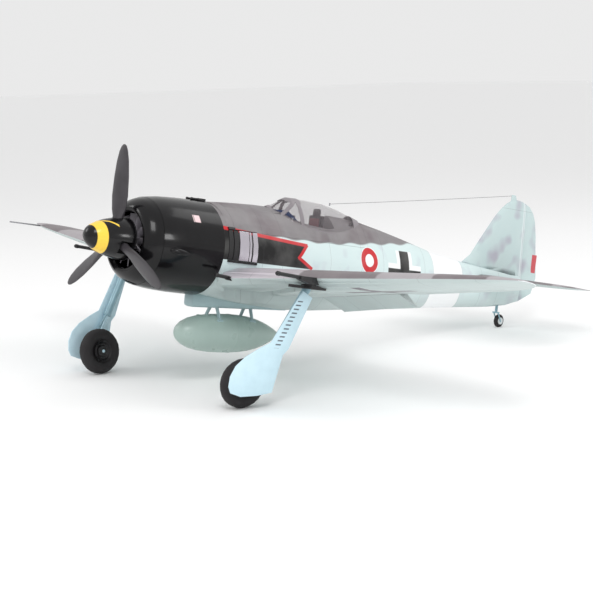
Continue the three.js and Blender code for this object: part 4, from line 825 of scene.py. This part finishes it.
def make_canopy():
    glass = canopy_sheet("canopy_glass", 0, 60, 32)
    thicken(glass, 1.0)
    settle(glass, "hatch", "glass", ["canopy"], 40)

    frames = canopy_sheet("canopy_frames", 0.5, 160, 64)


    def open_pane(face):
        x, y, z = abs(face.center.x / MM), face.center.y / MM, face.center.z / MM
        screen = y < 461
        bow = abs(y - (461 - (z - 59) * 0.16)) < 4.2                       # where the hood meets the windscreen
        rail = z < 64 - 0.02 * (y - 461) if not screen else z < 72 - (y - 392) * 0.1
        pillar = screen and abs((z - 72) - (y - 405) * 0.95) < 4 and x > 14
        centre_post = screen and z > 108 and y > 430
        rear = y > 606
        return not (bow or rail or pillar or centre_post or rear or y < 400)

    drop_faces(frames, open_pane)
    thicken(frames, 1.0, 0)
    settle(frames, "hatch", "frame", (), 40)
    stub = rod("aerial_stub", (0, 554, 113.6), (0, 554, 119), 1.4)
    settle(stub, "hatch", "steel")


def make_cockpit():
    """Black seat with a dark red back pad, head rest, and an instrument panel with blank dials."""
    shell = [block("pan", (-17, 492, 50.6), (17, 526, 62), 3),
             block("back", (-19, 520.5, 54), (19, 529, 91), 3),
             block("head", (-8, 519, 86), (8, 528, 104), 3)]
    settle(joined("seat_shell", shell), "hatch", "nylon", ["seat"])
    settle(block("seat_back_pad", (-13, 517.6, 66), (13, 521.5, 85), 1.6), "hatch", "dark_red")
    shelf = block("rear_shelf", (-19, 565, 58), (19, 604, 90), 1)
    cut_off(shelf, Vector((0, 562, 64)) * MM, (0, -0.46, 0.89))
    settle(shelf, "hatch", "nylon")
    panel = [block("panel", (-24, 446, 60), (24, 449, 84), 1)]
    for x, z in ((-14, 75), (0, 77), (14, 75), (-7, 66), (7, 66)):
        panel.append(rod("dial", (x, 448, z), (x, 450.4, z), 4.2))
    settle(joined("instrument_panel", panel), "hatch", "nylon")


make_canopy()
make_cockpit()


# ---------- Belly tank ----------
def make_tank():
    """Drop tank, blunt ahead and drawn out behind, with its joint seam and filler cap."""
    rows = [(0.05, -120), (8, -118.4), (15, -113.5), (22, -104), (28, -90), (32.5, -70), (35.2, -45),
            (36, -20), (36, 0),
            (35.2, 20), (33, 42), (28.8, 62), (23.5, 80), (18, 94), (11.5, 108), (5.5, 119), (0.05, 126)]
    body = lathe("tank", rows, 64)
    seam = lathe("tank_seam", [(35.8, -1.2), (36.5, -0.6), (36.5, 0.6), (35.8, 1.2)], 64)
    cap = rod("tank_cap", (0, -70, 31.4), (0, -70, 33.6), 5)
    tank = joined("drop_tank_body", [body, seam, cap])
    nose_up = Matrix.Rotation(math.radians(2.5), 4, "X")
    tank.data.transform(Matrix.Translation(Vector((0, 338, -151)) * MM) @ nose_up)
    settle(tank, "airframe", "tank", ["drop_tank"], 35)


def make_rack():
    """Long pan under the belly and two pairs of flat struts that splay to pads on the tank."""
    pan = block("belly_pan", (-15, 238, -107), (15, 470, -82), 6)
    lean = Matrix.Translation(Vector((0, 256, -107)) * MM)
    pan.data.transform(lean @ Matrix.Rotation(math.radians(2.4), 4, "X") @ lean.inverted())
    settle(pan, "airframe", "rack", ["belly_rack"], 40)
    for name, y, top, foot, foot_x in (("front", 298.5, -101, -128.5, 24), ("rear", 378.5, -97, -124.5, 20)):
        parts = [block("saddle", (-12, y - 6, top - 4), (12, y + 6, top + 3), 1.2)]
        for side in (-1, 1):
            start, end = (side * 8, y, top), (side * foot_x, y, foot)
            length = math.dist(start, end)
            stations = [(0, 0, 0, 1.9 * MM, 4.6 * MM), (0, 0, length * MM, 1.9 * MM, 3.6 * MM)]
            bar_form = drawn("strut", stations, 20)
            parts.append(between(bar_form, start, end))
            pad_x, pad_z = side * foot_x, foot + 0.5
            parts.append(rod("pad", (pad_x, y - 7, pad_z), (pad_x, y + 7, pad_z), 2.6))
        struts = joined(f"tank_struts_{name}", parts)
        settle(struts, "airframe", "rack", [f"tank_brace_{name}"], 40)


make_tank()
make_rack()


# ---------- Tail fittings ----------
def make_tail_fittings():
    """Tapered aerial fairing on the fin, red trim tab on the rudder and pale hub caps on the tail wheel."""
    rows = [(1091.5, 180, 3.2, 9.5), (1090.5, 187, 2.8, 8.8), (1089.5, 194, 2.3, 8.0), (1088.5, 199, 1.6, 7.0)]
    fairing = drawn("aerial_fairing", [(0, y * MM, z * MM, a * MM, b * MM) for y, z, a, b in rows], 28)
    settle(fairing, "airframe", "tail", ["antenna_post"], 50)
    settle(block("trim_tab", (-1.1, 1173, 36), (1.1, 1189, 76), 0.5), "rudder", "red")
    caps = [rod("cap", (x, 1090, -77), (x * 1.28, 1090, -77), 7.6) for x in (-4.0, 4.0)]
    caps += [rod("boss", (x, 1090, -77), (x * 1.2, 1090, -77), 2.6) for x in (-5.0, 5.0)]
    settle(joined("tail_hub_caps", caps), "tail_wheel", "hub")


make_tail_fittings()


# ---------- Main gear ----------
PIVOT, FOOT = Vector((270, 288, -36)), Vector((241, 207, -222))
DOWN = (FOOT - PIVOT).normalized()
INWARD = (Vector((-1, 0, 0)) - DOWN * Vector((-1, 0, 0)).dot(DOWN)).normalized()
BACK = DOWN.cross(INWARD)
LEG = (FOOT - PIVOT).length
AXLE = FOOT + INWARD * 22


def on_leg(down, aft=0, inward=0):
    return PIVOT + DOWN * down + BACK * aft + INWARD * inward


def make_leg():
    """Painted oleo leg with its polished slider, collar, torque link and trunnion."""
    fold = next(j for j in frame["joints"] if j["name"] == "gear_left_fold")
    pin = AIR.inverted().to_3x3() @ Vector(fold["axis"])
    painted = [rod("upper", on_leg(-3), on_leg(LEG * 0.6), 7.2),
               rod("collar", on_leg(LEG * 0.57), on_leg(LEG * 0.63), 7.5),
               rod("cap", on_leg(LEG * 0.04), on_leg(LEG * 0.09), 7.5),
               rod("foot", on_leg(LEG - 9), on_leg(LEG + 5), 6.8),
               rod("trunnion", PIVOT - pin * 12, PIVOT + pin * 12, 5),
               rod("link_upper", on_leg(LEG * 0.62, -4, 3), on_leg(LEG * 0.76, -8.5, 3), 1.8),
               rod("link_lower", on_leg(LEG * 0.76, -8.5, 3), on_leg(LEG - 4, -4, 3), 1.8)]
    bright = [rod("slider", on_leg(LEG * 0.6), on_leg(LEG - 6), 5.2), rod("axle", FOOT, AXLE + INWARD * 14, 3)]
    pieces = []
    for name, parts, paint, slot in (("leg_casting", painted, "leg", "leg_alloy"),
                                     ("leg_slider", bright, "slider", "leg_alloy")):
        left = joined(f"{name}_left", parts)
        right = other_side(left, f"{name}_right")
        pieces += [(left, "left", paint, slot), (right, "right", paint, slot)]
    for piece, side, paint, slot in pieces:
        nodes = [f"leg_{side}"] if "casting" in piece.name else ()
        settle(piece, f"gear_{side}", paint, nodes)


def make_wheel_caps():
    """Ribbed rings and a small bright axle nut on the inner face of each main wheel."""
    for side in ("left", "right"):
        face = AXLE + INWARD * 9
        rings = [rod("rim", face - INWARD * 2, face + INWARD * 0.6, 20, sides=48),
                 rod("step", face, face + INWARD * 1.5, 13, sides=40),
                 rod("boss", face, face + INWARD * 3, 6)]
        cap = joined(f"wheel_cap_{side}", rings)
        nut = rod(f"wheel_nut_{side}", face + INWARD * 2.6, face + INWARD * 4.6, 2.6, sides=6)
        for piece, paint, slot in ((cap, "nylon", "black_nylon"), (nut, "steel", "bright_steel")):
            if side == "right":
                piece.data.transform(Matrix.Diagonal((-1, 1, 1, 1)))
                piece.data.flip_normals()
            settle(piece, f"wheel_{side}", paint)


def make_brackets():
    """Black mounting plate under the wing, ahead of each leg, pointed at its front."""
    plate = block("leg_bracket_left", (258, 242, -46), (284, 268, -41), 0.8)
    for side in (-1, 1):
        cut_off(plate, Vector((271 + side * 15, 256, 0)) * MM, (side, -0.8, 0))
    right = other_side(plate, "leg_bracket_right")
    for piece in (plate, right):
        settle(piece, "airframe", "nylon")


make_leg()
make_wheel_caps()
make_brackets()


# ---------- Floor and light ----------
def make_stage():
    """Wide pale floor with soft lamps round the model and an even white sky."""
    floor = begin("floor", bpy.ops.mesh.primitive_plane_add, size=60)
    material, tree, surface = blank("pale_studio_floor", Roughness=0.8, **{"Specular IOR Level": 0.1})
    surface.inputs["Base Color"].default_value = linear("#fbfbfb")
    floor.data.materials.append(material)
    world = bpy.data.worlds.new("studio")
    world.use_nodes = True
    world.node_tree.nodes["Background"].inputs[0].default_value = linear("#ffffff")
    world.node_tree.nodes["Background"].inputs[1].default_value = 0.82
    bpy.context.scene.world = world
    lamps = (((1.7, -1.6, 2.3), 26, 1.1), ((-2.0, -2.0, 1.8), 12, 1.0), ((0.4, 2.2, 2.4), 12, 1.6),
             ((1.9, 0.15, 0.75), 5, 0.4))
    for place, power, size in lamps:
        bpy.ops.object.light_add(type="AREA", location=place)
        lamp = bpy.context.object
        lamp.data.energy, lamp.data.size = power, size
        lamp.rotation_euler = (Vector((0, -0.1, 0.2)) - Vector(place)).to_track_quat("-Z", "Y").to_euler()
    bpy.context.scene.view_settings.view_transform = "Standard"


make_stage()
